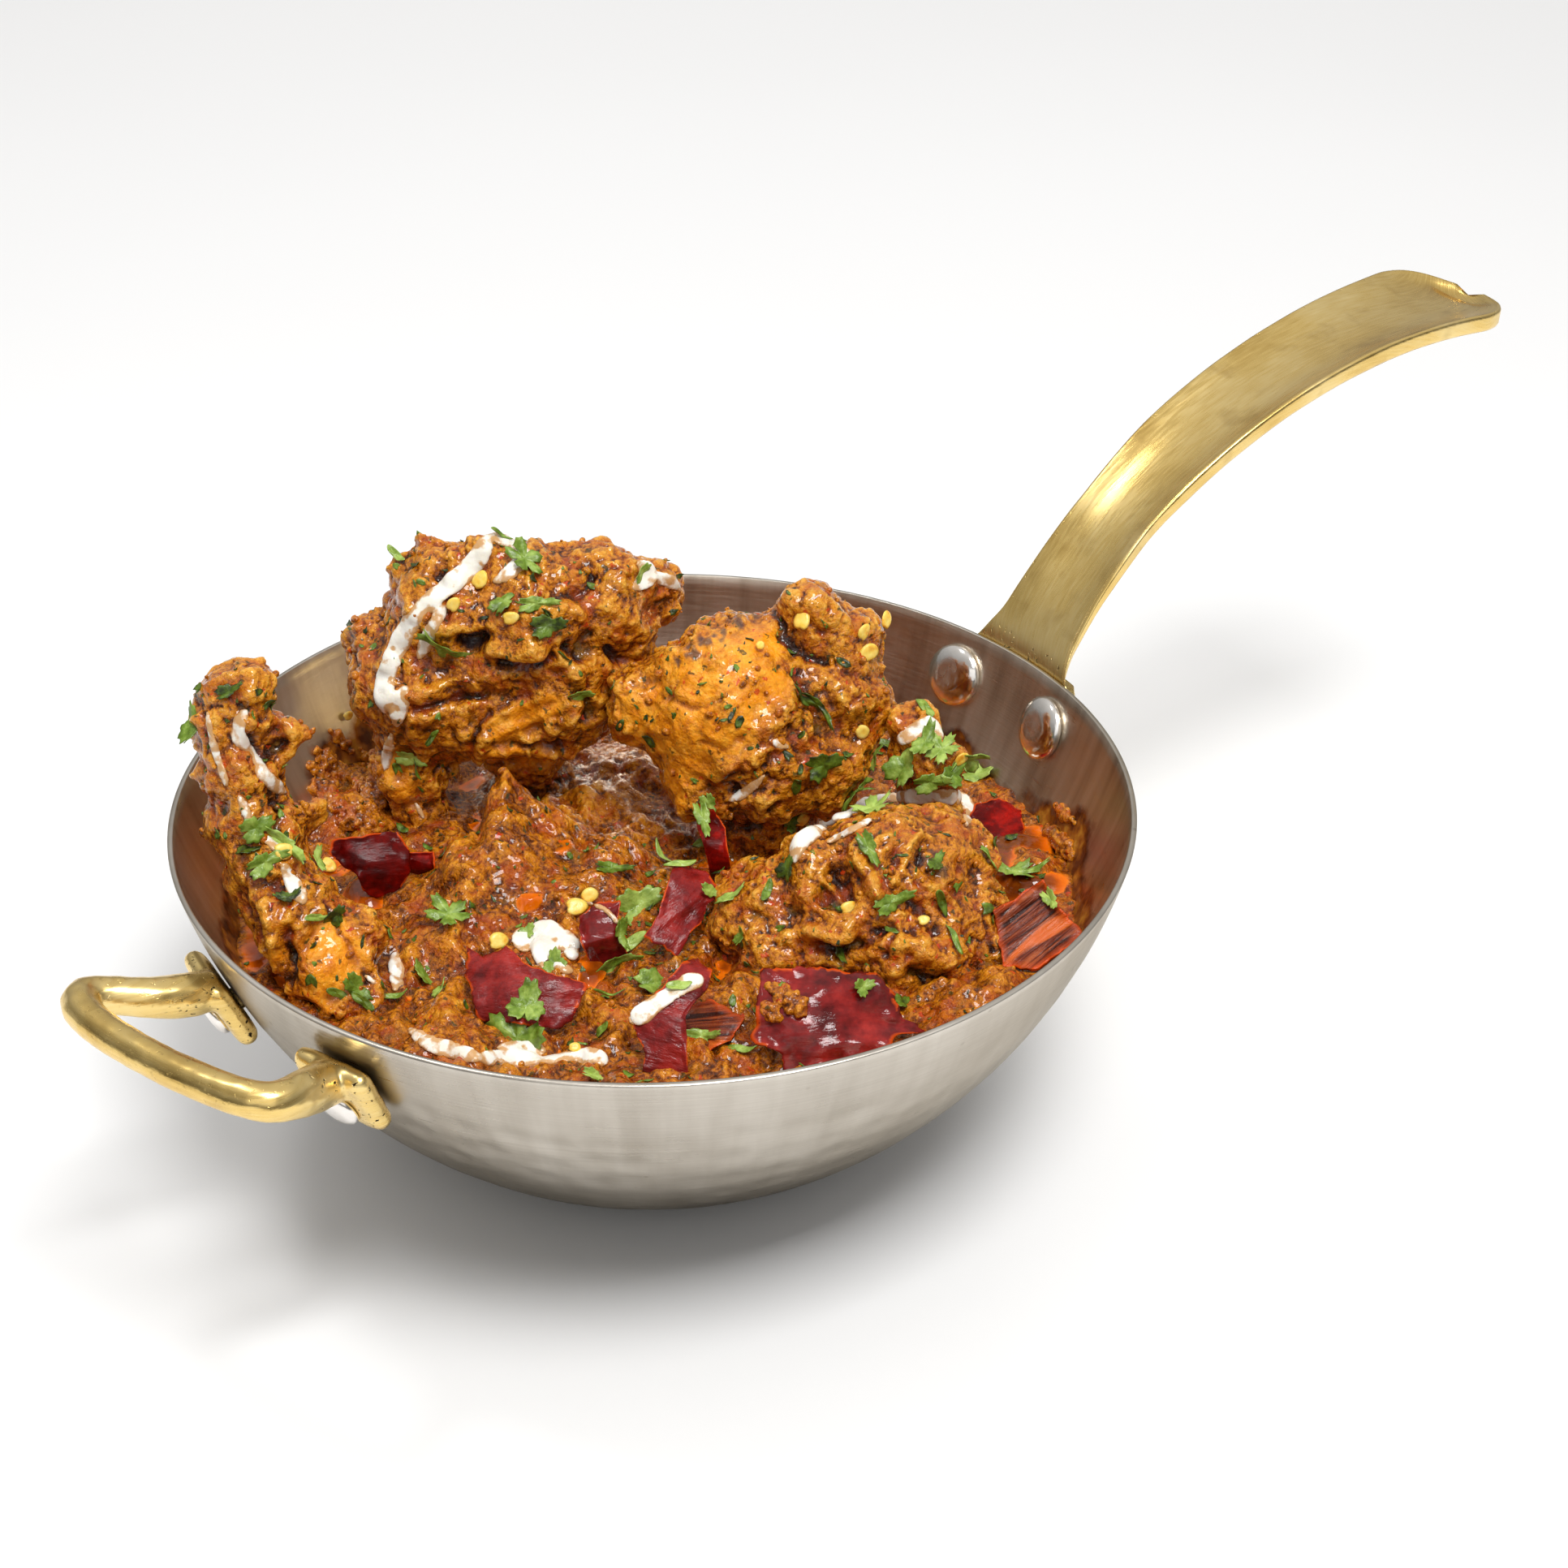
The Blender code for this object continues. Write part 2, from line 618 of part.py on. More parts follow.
def main():
    pan = make_pan()
    long_handle = make_long_handle()
    loop_handle = make_loop_handle()
    radius = RIM_RADIUS - 3 * MM
    for side, label in ((-1, "right"), (1, "left")):
        azimuth = (HANDLE_RIVET_OFFSET + side * HANDLE_RIVET_SPREAD) / radius
        name = "handle_rivet_" + label
        hole = make_rivet(
            name, azimuth, HANDLE_RIVET_DEPTH, HANDLE_RIVET_HEAD, FOOT_THICKNESS, HANDLE_RIVET_TAIL
        )
        cut(long_handle, hole)
        cut(pan, hole)
    for label, (angle, depth) in LUGS.items():
        name = "loop_rivet_" + label
        azimuth = LOOP_AZIMUTH + angle
        hole = make_rivet(
            name, azimuth, depth + LOOP_RIVET_DROP, LOOP_RIVET_HEAD, LUG_SIZE[2], LOOP_RIVET_TAIL
        )
        cut(loop_handle, hole)
        cut(pan, hole)
    food = [make_chicken(name, balls) for name, balls in CHICKEN.items()]
    food += [make_chilli(name, *leaf) for name, leaf in CHILLI.items()]
    rooms = cut_in_turn(food)
    gravy = make_gravy()
    for room in rooms:
        cut(gravy, room)


main()
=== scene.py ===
"""Looks of the chicken curry in its hammered steel pan.

Metres, +Z up, in the frame of the solids: the origin is the centre of the pan's flat base and the long
handle points along +X. Food is dressed in a serving frame, as in the part's source: its origin is the centre
of the rim plane and +Y points away from the diner. Garnish is placed as the diner sees it: (across, up) in
mm, in the plane through the rim's centre that faces the diner's eye, and dropped from the eye onto the food.
"""

import math

import bmesh
import bpy
import numpy as np
from mathutils import Euler, Matrix, Vector
from mathutils.bvhtree import BVHTree


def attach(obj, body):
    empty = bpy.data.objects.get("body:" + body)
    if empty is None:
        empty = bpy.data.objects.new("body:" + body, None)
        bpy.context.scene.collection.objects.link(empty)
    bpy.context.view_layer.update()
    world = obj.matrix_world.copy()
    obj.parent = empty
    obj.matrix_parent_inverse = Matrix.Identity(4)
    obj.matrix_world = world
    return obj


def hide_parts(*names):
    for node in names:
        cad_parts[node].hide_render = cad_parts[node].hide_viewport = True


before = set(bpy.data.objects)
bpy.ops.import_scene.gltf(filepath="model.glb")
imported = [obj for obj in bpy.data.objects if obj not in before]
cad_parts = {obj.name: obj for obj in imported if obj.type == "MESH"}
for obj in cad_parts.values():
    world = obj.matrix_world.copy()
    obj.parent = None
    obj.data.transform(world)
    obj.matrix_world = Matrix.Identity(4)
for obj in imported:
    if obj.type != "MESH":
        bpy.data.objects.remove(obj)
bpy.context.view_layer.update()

MM = 0.001

# Pan: one circular arc turned round the axis, with a flat base.
RIM_RADIUS = 100 * MM
WALL = 1.2 * MM
WALL_ARC_RADIUS = 113.4 * MM
RIM_SLOPE = math.radians(76)
BASE_RADIUS = 38 * MM
ARC_CENTRE_RADIUS = RIM_RADIUS - WALL_ARC_RADIUS * math.sin(RIM_SLOPE)
BASE_SLOPE = math.asin((BASE_RADIUS - ARC_CENTRE_RADIUS) / WALL_ARC_RADIUS)
RIM_HEIGHT = WALL_ARC_RADIUS * (math.cos(BASE_SLOPE) - math.cos(RIM_SLOPE))
ARC_CENTRE_HEIGHT = WALL_ARC_RADIUS * math.cos(BASE_SLOPE)

# The diner's eye, in the serving frame, and the camera's aim
SERVING = Matrix.Translation((0, 0, RIM_HEIGHT)) @ Matrix.Rotation(math.radians(-32.6), 4, "Z")
EYE = Vector((0, -488.8, 300.2)) * MM
AIM_ACROSS = math.radians(3.155)
AIM_DOWN = math.radians(31.406)
LENS = 63.05

RANDOM = np.random.default_rng(11)


# ---- shapes from numbers

PRIMES = (73856093, 19349663, 83492791, 265443577)
MIXING_PRIME = 1274126177
TABLE_SIZE = 1024  # a power of two
NOISE_GAIN = 1.6  # brings the noise to about -1 to 1


def unit(vectors):
    return vectors / np.linalg.norm(vectors, axis=-1, keepdims=True)


GRADIENTS = unit(np.random.default_rng(3).normal(size=(TABLE_SIZE, 3)))
JITTER = np.random.default_rng(5).random((TABLE_SIZE, 4))


def hashed(cells, seed):
    """A place in the tables for each whole-number cell, the same each run."""
    x, y, z = (cells[..., axis].astype(np.int64) for axis in range(3))
    mixed = (x * PRIMES[0]) ^ (y * PRIMES[1]) ^ (z * PRIMES[2]) ^ (seed * PRIMES[3])
    mixed = (mixed ^ (mixed >> 13)) * MIXING_PRIME
    return (mixed ^ (mixed >> 16)) & (TABLE_SIZE - 1)


def noise(points, size, seed=0):
    """Smooth noise from about -1 to 1, with features of the given size."""
    place = points / size
    base = np.floor(place)
    local = place - base
    ease = local**3 * (local * (6 * local - 15) + 10)
    total = np.zeros(len(points))
    for corner in np.ndindex(2, 2, 2):
        offset = np.array(corner)
        slope = GRADIENTS[hashed(base + offset, seed)]
        weight = np.where(offset, ease, 1 - ease).prod(axis=-1)
        total += weight * ((local - offset) * slope).sum(axis=-1)
    return total * NOISE_GAIN


def rough_noise(points, size, seed, octaves=2):
    """Noise with finer noise on top of it."""
    return sum(noise(points, size / 2**step, seed + step) / 2**step for step in range(octaves))


def drift(points, size, seed, axes=3):
    """A smooth push in each direction, from about -1 to 1."""
    return np.stack([noise(points, size, seed + axis) for axis in range(axes)], axis=-1)


def grains(points, size, seed):
    """Rounded grains side by side: up to 1 on top of a grain, 0 between them."""
    place = points / size
    base = np.floor(place)
    best = np.zeros(len(points))
    for corner in np.ndindex(3, 3, 3):
        cell = base + np.array(corner) - 1
        spread = JITTER[hashed(cell, seed)]
        away = ((place - cell - spread[:, :3]) ** 2).sum(axis=-1)
        reach = (0.45 + 0.5 * spread[:, 3]) ** 2
        best = np.maximum(best, np.clip(1 - away / reach, 0, None) * (0.4 + spread[:, 3]))
    return np.sqrt(best)


def clumps(points, size, seed):
    """Rounded clumps with creases between them, from 0 in a crease to about 1."""
    return np.sqrt(noise(points, size, seed) ** 2 + 0.012) * 1.9 - 0.2


def layered(heights, *layers):
    return sum(height * layer for height, layer in zip(heights, layers))


def smooth_step(low, high, value):
    share = np.clip((value - low) / (high - low), 0, 1)
    return share * share * (3 - 2 * share)


# ---- Blender objects

SOFTENING = 0.6  # how far each round of smoothing moves a point


def link(obj):
    bpy.context.scene.collection.objects.link(obj)
    return obj


def mesh_object(name, points, faces, surface):
    mesh = bpy.data.meshes.new(name)
    mesh.from_pydata([tuple(point) for point in points], [], faces)
    mesh.validate()
    mesh.shade_smooth()
    mesh.materials.append(surface)
    return link(bpy.data.objects.new(name, mesh))


def ball(divisions):
    """Points and faces of a unit ball made of triangles."""
    bm = bmesh.new()
    bmesh.ops.create_icosphere(bm, subdivisions=divisions, radius=1)
    points = np.array([vertex.co[:] for vertex in bm.verts])
    faces = np.array([[vertex.index for vertex in face.verts] for face in bm.faces])
    bm.free()
    return points, faces


def copies(shape, matrices):
    """One set of points and faces from many moved copies of a shape."""
    points, faces = shape
    turns = np.array([np.array(matrix) for matrix in matrices])
    moved = np.einsum("nij,pj->npi", turns[:, :3, :3], points) + turns[:, None, :3, 3]
    shifts = np.arange(len(turns))[:, None, None] * len(points)
    return moved.reshape(-1, 3), (faces[None] + shifts).reshape(-1, 3).tolist()


def freeze(obj):
    """Works the modifiers into the mesh."""
    graph = bpy.context.evaluated_depsgraph_get()
    mesh = bpy.data.meshes.new_from_object(obj.evaluated_get(graph))
    obj.modifiers.clear()
    obj.data = mesh
    return obj


def read(items, name, width, kind=np.float64):
    """One row of numbers for each item of a mesh."""
    flat = np.empty(len(items) * width, kind)
    items.foreach_get(name, flat)
    return flat.reshape(-1, width)


def coordinates(mesh):
    return read(mesh.vertices, "co", 3)


def normals(mesh):
    return read(mesh.vertex_normals, "vector", 3, np.float32)


def set_coordinates(mesh, points):
    mesh.vertices.foreach_set("co", points.ravel())
    mesh.update()


def push_out(mesh, distances):
    """Moves each point along its own outward direction."""
    set_coordinates(mesh, coordinates(mesh) + normals(mesh) * distances[:, None])


def mark(mesh, name, values):
    """Keeps a number per point for the material to read."""
    layer = mesh.attributes.new(name, "FLOAT", "POINT")
    layer.data.foreach_set("value", np.asarray(values, np.float32))


def corners(mesh):
    """The point at each corner of each face."""
    return read(mesh.loops, "vertex_index", 1, np.int32)[:, 0]


def set_surface_places(mesh, places):
    """Keeps the surface's own (round, along) coordinates in metres, one for each corner."""
    mesh.uv_layers.new(name="unrolled").data.foreach_set("uv", places.ravel())


def hollows(mesh, rounds):
    """How far in mm each point lies below the smoothed surface round it: crests come out negative."""
    points = coordinates(mesh)
    first, second = read(mesh.edges, "vertices", 2, np.int32).T
    total = len(points)
    count = np.maximum(np.bincount(first, minlength=total) + np.bincount(second, minlength=total), 1)
    smooth = points.copy()
    for _ in range(rounds):
        for axis in range(3):
            column = smooth[:, axis]
            pulled = np.bincount(first, column[second], total) + np.bincount(second, column[first], total)
            smooth[:, axis] = 0.5 * column + 0.5 * pulled / count
    return ((smooth - points) * normals(mesh)).sum(axis=-1) / MM


def grid_faces(rows, columns, first=0):
    """Quads between rows of points, each row running round."""
    faces = []
    for row in range(rows - 1):
        here = first + row * columns
        there = here + columns
        for column in range(columns):
            after = (column + 1) % columns
            faces.append((here + column, here + after, there + after, there + column))
    return faces


def fan(hub, first, steps):
    """Triangles from a middle point to a ring of points."""
    return [(hub, first + step, first + (step + 1) % steps) for step in range(steps)]


def flipped(faces):
    return [face[::-1] for face in faces]


def capped(rows, columns):
    """Faces of a closed body: a middle point, rows of points that run round, and another middle point."""
    last = rows * columns + 1
    faces = grid_faces(rows, columns, 1)
    for pair in zip(flipped(fan(0, 1, columns)), fan(last, last - columns, columns)):
        faces += pair
    return faces


def turned(name, profile, steps, surface):
    """A closed body: a profile of (radius, height) from the axis and back to it, turned round Z."""
    points = [(0, 0, profile[0][1])]
    angles = [2 * math.pi * step / steps for step in range(steps)]
    for radius, height in profile[1:-1]:
        points += [(radius * math.cos(angle), radius * math.sin(angle), height) for angle in angles]
    points.append((0, 0, profile[-1][1]))
    obj = mesh_object(name, points, capped(len(profile) - 2, steps), surface)
    face_outward(obj)
    return obj


def face_outward(obj, merged=None):
    """Turns all faces outward, once points that are nearer than a distance are run together."""
    bm = bmesh.new()
    bm.from_mesh(obj.data)
    if merged:
        bmesh.ops.remove_doubles(bm, verts=bm.verts, dist=merged)
    bmesh.ops.recalc_face_normals(bm, faces=bm.faces)
    bm.to_mesh(obj.data)
    bm.free()


def node_copy(node, surface):
    """A new object with a copy of a solid's mesh."""
    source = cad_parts[node]
    mesh = source.data.copy()
    mesh.transform(source.matrix_world)
    mesh.materials.clear()
    mesh.materials.append(surface)
    return link(bpy.data.objects.new(node + "_dressed", mesh))


def remesh(obj, voxel, smoothing):
    """Rebuilds the surface with even small faces, then softens it."""
    melt = obj.modifiers.new("melt", "REMESH")
    melt.mode = "VOXEL"
    melt.voxel_size = voxel
    soften = obj.modifiers.new("soften", "SMOOTH")
    soften.factor = SOFTENING
    soften.iterations = smoothing
    freeze(obj)
    obj.data.shade_smooth()
    return obj


def in_object(points):
    """Points of the serving frame, in the frame of the solids."""
    turn = np.array(SERVING)
    return points @ turn[:3, :3].T + turn[:3, 3]


def in_serving(points):
    """Points of the frame of the solids, in the serving frame."""
    turn = np.array(SERVING.inverted())
    return points @ turn[:3, :3].T + turn[:3, 3]


# ---- what the diner sees

CENTRE_ACROSS = 0.7  # mm, from the middle of the rim's outline to the rim's centre
CENTRE_UP = 7.9  # mm
RIDGE_STEP = 0.4  # mm


def eye_axes():
    """The eye and the camera's right, up and forward directions, in the object's frame."""
    level = math.cos(AIM_DOWN)
    forward = Vector((math.sin(AIM_ACROSS) * level, math.cos(AIM_ACROSS) * level, -math.sin(AIM_DOWN)))
    right = forward.cross(Vector((0, 0, 1))).normalized()
    turn = SERVING.to_3x3()
    return SERVING @ EYE, turn @ right, turn @ right.cross(forward), turn @ forward


EYE_PLACE, EYE_RIGHT, EYE_UP, EYE_FORWARD = eye_axes()
VIEW_CENTRE = Vector((0, 0, RIM_HEIGHT)) - EYE_RIGHT * CENTRE_ACROSS * MM - EYE_UP * CENTRE_UP * MM


def in_view(points):
    """(across, up) in mm at which the diner sees each point, from the middle of the rim's outline."""
    away = points - np.array(EYE_PLACE)
    depth = away @ np.array(EYE_FORWARD)
    aim = VIEW_CENTRE - EYE_PLACE
    shown = away * (aim.dot(EYE_FORWARD) / depth)[:, None] - np.array(aim)
    return np.stack([shown @ np.array(EYE_RIGHT), shown @ np.array(EYE_UP)], axis=-1) / MM


def facing_eye(points, outward):
    """How much each piece of surface is turned towards the diner, from -1 to 1."""
    return (outward * unit(np.array(EYE_PLACE) - points)).sum(axis=-1)


def smooth_route(points, spacing):
    """Places at even spacing on a curve through all the given points (Catmull-Rom)."""
    padded = np.array([points[0], *points, points[-1]], float)
    route = []
    for a, b, c, d in zip(padded, padded[1:], padded[2:], padded[3:]):
        steps = max(2, int(math.dist(b, c) / spacing))
        for t in np.arange(steps) / steps:
            curve = 2 * b + (c - a) * t + (2 * a - 5 * b + 4 * c - d) * t**2 + (3 * b - a - 3 * c + d) * t**3
            route.append(0.5 * curve)
    return [*route, padded[-1]]


def stroke_share(view, half, path):
    """1 on a stroke's middle line, fading out over its half width."""
    route = np.array(smooth_route(path, RIDGE_STEP))
    low, high = route.min(axis=0) - 2.5 * half, route.max(axis=0) + 2.5 * half
    share = np.zeros(len(view))
    near = ((view > low) & (view < high)).all(axis=1)
    away = ((view[near][:, None] - route[None]) ** 2).sum(axis=-1).min(axis=1)
    share[near] = np.exp(-away / half**2)
    return share


def relief(view, strokes):
    """Height in mm that ridges and furrows add: each is (half width, height, (across, up), ...)."""
    total = np.zeros(len(view))
    for half, height, *path in strokes:
        total += height * stroke_share(view, half, path)
    return total


def patches(view, spots):
    """1 inside round spots (across, up, radius), fading at their edges."""
    total = np.zeros(len(view))
    for across, up, radius in spots:
        away = np.hypot(view[:, 0] - across, view[:, 1] - up)
        total = np.maximum(total, 1 - smooth_step(radius * 0.75, radius * 1.15, away))
    return total


# ---- materials


class Nodes:
    """A new material, and one call for each node that is added to it and linked."""

    def __init__(self, name):
        self.material = bpy.data.materials.new(name)
        self.material.use_nodes = True
        self.tree = self.material.node_tree

    def plug(self, socket, value):
        if isinstance(value, bpy.types.NodeSocket):
            self.tree.links.new(value, socket)
        else:
            socket.default_value = value

    def add(self, kind, settings=None, out=0, **inputs):
        """A node with its settings and its inputs by name or number, as one output."""
        node = self.tree.nodes.new("ShaderNode" + kind)
        for key, value in (settings or {}).items():
            setattr(node, key, value)
        for key, value in inputs.items():
            name = key.replace("_", " ").strip()
            self.plug(node.inputs[int(name) if name.isdigit() else name], value)
        return node.outputs[out]

    def place(self):
        return self.add("TexCoord", out="Object")

    def along(self, scale):
        """The surface's own (round, along) coordinates in metres, stretched."""
        return self.add("Mapping", Vector=self.add("TexCoord", out="UV"), Scale=scale)

    def warped(self, warp, distance):
        """Places that are pushed about by a colour."""
        pushed = self.add("VectorMath", {"operation": "SCALE"}, _0=warp, Scale=distance)
        return self.add("VectorMath", {"operation": "ADD"}, _0=self.place(), _1=pushed)

    def mark(self, name):
        return self.add("Attribute", {"attribute_name": name}, out="Fac")

    def noise(self, size, detail=3, place=None, distortion=0.0, roughness=0.5):
        shape = {"Detail": detail, "Distortion": distortion, "Roughness": roughness}
        return self.add("TexNoise", Vector=place or self.place(), Scale=1 / size, **shape)

    def cells(self, size, place=None, out="Distance"):
        return self.add("TexVoronoi", out=out, Vector=place or self.place(), Scale=1 / size)

    def ramp(self, value, *stops):
        """Colours or greys at places from 0 to 1."""
        node = self.tree.nodes.new("ShaderNodeValToRGB")
        self.plug(node.inputs[0], value)
        elements = node.color_ramp.elements
        while len(elements) < len(stops):
            elements.new(0.5)
        for element, (at, colour) in zip(elements, stops):
            element.position = at
            element.color = (*colour, 1) if isinstance(colour, tuple) else (colour, colour, colour, 1)
        return node.outputs[0]

    def fade(self, value, low, high, at_low=0.0, at_high=1.0):
        """A grey that goes from one level to another between two values."""
        return self.ramp(value, (low, at_low), (high, at_high))

    def mix(self, share, low, high):
        low, high = ((*colour, 1) if isinstance(colour, tuple) else colour for colour in (low, high))
        return self.add("Mix", {"data_type": "RGBA"}, 2, _0=share, _6=low, _7=high)

    def tint(self, colour, share, strength, other):
        """Turns a colour towards another one."""
        return self.mix(self.times(share, strength), colour, other)

    def lean(self, share, first, second):
        """Turns a direction towards another one."""
        return self.add("Mix", {"data_type": "VECTOR"}, 1, _0=share, _4=first, _5=second)

    def math(self, operation, first, second):
        return self.add("Math", {"operation": operation}, _0=first, _1=second)

    def times(self, first, second):
        return self.math("MULTIPLY", first, second)

    def plus(self, *values):
        total = values[0]
        for value in values[1:]:
            total = self.math("ADD", total, value)
        return total

    def blend(self, *parts):
        """The sum of (value, weight) pairs."""
        return self.plus(*(self.times(value, weight) for value, weight in parts))

    def remap(self, value, low, high, to_low, to_high):
        ends = {"From_Min": low, "From_Max": high, "To_Min": to_low, "To_Max": to_high}
        return self.add("MapRange", Value=value, **ends)

    def bump(self, height, distance, strength=1.0, **under):
        return self.add("Bump", Height=height, Distance=distance, Strength=strength, **under)

    def finish(self, **looks):
        """Sets or links inputs of the shader, and returns the material."""
        for key, value in looks.items():
            self.plug(self.tree.nodes["Principled BSDF"].inputs[key.replace("_", " ")], value)
        return self.material


def masala_looks(name):
    """Wet masala: a glossy ochre and brick-red sauce with grains and herbs, dark in the hollows: partly oily
    sauce, partly painted shade from the relief mark.

    The skin mark lets smooth orange skin through, and the char mark scorches it."""
    n = Nodes(name)
    height = n.mark("relief")
    skin = n.mark("skin")
    warp = n.add("TexNoise", out="Color", Vector=n.place(), Scale=700.0, Detail=2.0)
    place = n.warped(warp, 0.0012)
    blotch = n.noise(0.0042, 4, roughness=0.65, distortion=0.4)
    grit = n.noise(0.0010, 3, place, roughness=0.7)
    gaps = n.cells(0.0017, n.warped(warp, 0.0016))
    # Painted shade and light: the relief mark darkens hollows and creases and lightens crests, and the gaps
    # between grains are painted darker.
    tone = n.plus(
        n.times(height, 0.82),
        n.remap(blotch, 0.34, 0.66, -0.10, 0.12),
        n.remap(grit, 0.36, 0.64, -0.10, 0.18),
        n.remap(gaps, 0.20, 0.62, 0.07, -0.08),
    )
    colour = n.ramp(
        tone,
        (0.06, (0.026, 0.0045, 0.0004)),
        (0.24, (0.130, 0.026, 0.0007)),
        (0.38, (0.34, 0.088, 0.0020)),
        (0.52, (0.57, 0.180, 0.0042)),
        (0.70, (0.74, 0.285, 0.012)),
        (0.92, (0.86, 0.42, 0.050)),
    )
    colour = n.tint(colour, n.fade(n.noise(0.0055, 4), 0.50, 0.64), 0.55, (0.44, 0.056, 0.003))
    ochre = n.fade(n.noise(0.0045, 3, distortion=0.6), 0.55, 0.70)
    colour = n.tint(colour, ochre, 0.30, (0.58, 0.25, 0.010))
    pale = n.ramp(
        n.blend((blotch, 0.65), (grit, 0.35)),
        (0.32, (0.62, 0.160, 0.003)),
        (0.46, (0.92, 0.310, 0.007)),
        (0.58, (1.00, 0.420, 0.025)),
        (0.70, (1.00, 0.540, 0.09)),
    )
    # Painted shade: the skin darkens in the hollows read from the relief mark.
    pale = n.mix(n.fade(height, 0.25, 0.5, 0.75, 0.0), pale, (0.34, 0.070, 0.003))
    colour = n.tint(colour, skin, 0.92, pale)
    colour = n.mix(n.mark("char"), colour, (0.045, 0.030, 0.034))
    shred = n.warped(warp, 0.0030)
    near = n.fade(n.cells(0.0021, shred), 0.22, 0.30, 1.0, 0.0)
    chosen = n.cells(0.0021, shred, out="Color")
    for channel, threshold, fleck in (
        ("Red", 0.78, (0.020, 0.034, 0.005)),
        ("Green", 0.88, (0.60, 0.045, 0.003)),
    ):
        picked = n.math("GREATER_THAN", n.add("SeparateColor", out=channel, _0=chosen), threshold)
        colour = n.tint(colour, n.times(near, picked), 0.8, fleck)
    picked = n.add("SeparateColor", out="Blue", _0=n.cells(0.0013, place, out="Color"))
    lumps = n.times(n.fade(n.cells(0.0013, place), 0.0, 0.45, 1.0, 0.0), n.math("GREATER_THAN", picked, 0.62))
    bumps = n.blend((grit, 0.9), (lumps, 0.30), (gaps, -0.7))
    bumps = n.times(bumps, n.remap(skin, 0, 1, 1.0, 0.45))
    wide = n.bump(n.noise(0.0022, 2), 0.0009, 0.8)
    return n, {
        "Base_Color": colour,
        "Roughness": n.fade(n.noise(0.0022, 3), 0.36, 0.64, 0.11, 0.34),
        "Normal": n.bump(bumps, 0.0009, 0.9, Normal=wide),
        "Coat_Normal": n.bump(n.noise(0.0019, 1), 0.0005, 0.8),
        "Specular_IOR_Level": 0.2,
        "Coat_Weight": 0.8,
        "Coat_Roughness": 0.07,
        "Coat_IOR": 1.45,
        "Subsurface_Weight": 0.05,
        "Subsurface_Radius": (0.0025, 0.0008, 0.0003),
    }


def gravy_material():
    """Masala with oil standing in its hollows: bright orange where shallow, dark red-brown where deep."""
    n, looks = masala_looks("masala_gravy")
    oil = n.mark("oil")
    depth = n.ramp(
        oil,
        (0.0, (0.90, 0.20, 0.003)),
        (0.18, (0.70, 0.12, 0.002)),
        (0.38, (0.36, 0.060, 0.002)),
        (0.7, (0.20, 0.032, 0.0015)),
        (1.0, (0.13, 0.021, 0.001)),
    )
    wet = n.fade(oil, 0.015, 0.06)
    still = n.bump(n.noise(0.004, 3), 0.0005, 0.5)
    looks["Base_Color"] = n.tint(looks["Base_Color"], wet, 0.88, depth)
    looks["Roughness"] = n.mix(wet, looks["Roughness"], (0.05, 0.05, 0.05))
    looks["Normal"] = n.lean(wet, looks["Normal"], still)
    looks["Coat_Normal"] = n.lean(wet, looks["Coat_Normal"], still)
    looks["Coat_Weight"] = 0.6
    return n.finish(**looks)


def chilli_material(name, skin_tones, wrinkling, roughening, shine):
    """Dried chilli: glossy crimson outside, striped brown inside, orange-red along some torn edges."""
    n = Nodes(name)
    inside = n.mark("inside")
    edge = n.mark("edge")
    skin = n.blend((n.noise(0.008, 3), 0.7), (n.noise(0.0016, 3), 0.3))
    skin = n.ramp(skin, *zip((0.36, 0.50, 0.64), skin_tones))
    stripes = n.noise(0.0035, 4, n.along((0.22, 4.0, 1)), distortion=0.3)
    ribbed = n.ramp(
        stripes,
        (0.40, (0.035, 0.0060, 0.0035)),
        (0.50, (0.15, 0.022, 0.0070)),
        (0.64, (0.36, 0.085, 0.024)),
    )
    strip = n.fade(n.noise(0.008, 2, n.along((0.20, 1.2, 1))), 0.58, 0.62)
    ribbed = n.tint(ribbed, strip, 0.85, (0.72, 0.14, 0.018))
    ribbed = n.mix(n.fade(edge, 0.80, 1.0, 0.0, 0.55), ribbed, (0.66, 0.075, 0.004))
    torn = n.fade(n.plus(n.times(edge, 0.5), n.noise(0.005, 3)), 0.99, 1.05)
    colour = n.tint(n.mix(inside, skin, ribbed), torn, n.fade(edge, 0.93, 0.98), (0.62, 0.070, 0.004))
    wrinkle = n.noise(0.0019, 4, n.along((0.45, 1.5, 1)), roughness=0.55)
    height = n.plus(wrinkle, n.blend((n.times(stripes, inside), 1.3), (n.noise(0.0006, 2), 0.12)))
    return n.finish(
        Base_Color=colour,
        Roughness=n.fade(n.noise(0.0030, 3), 0.35, 0.65, 0.16 * roughening, 0.40 * roughening),
        Normal=n.bump(height, wrinkling, 0.8),
        Specular_IOR_Level=shine,
        Subsurface_Weight=0.10,
        Subsurface_Radius=(0.0025, 0.0002, 0.0002),
    )


def cream_material():
    """Cream, stained by the masala where it lies thin."""
    n = Nodes("cream")
    base = n.ramp(n.noise(0.004, 3), (0.3, (0.86, 0.82, 0.70)), (0.7, (0.93, 0.91, 0.84)))
    spot = n.plus(n.times(n.mark("thin"), 0.55), n.noise(0.0022, 4, roughness=0.65))
    return n.finish(
        Base_Color=n.tint(base, n.fade(spot, 0.76, 1.00), 0.9, (0.58, 0.29, 0.075)),
        Roughness=n.fade(n.noise(0.003, 2), 0.3, 0.7, 0.16, 0.34),
        Normal=n.bump(n.noise(0.0014, 3), 0.00025, 0.6),
        Subsurface_Weight=0.25,
        Subsurface_Radius=(0.0016, 0.0012, 0.0008),
        Coat_Weight=0.2,
        Coat_Roughness=0.08,
    )


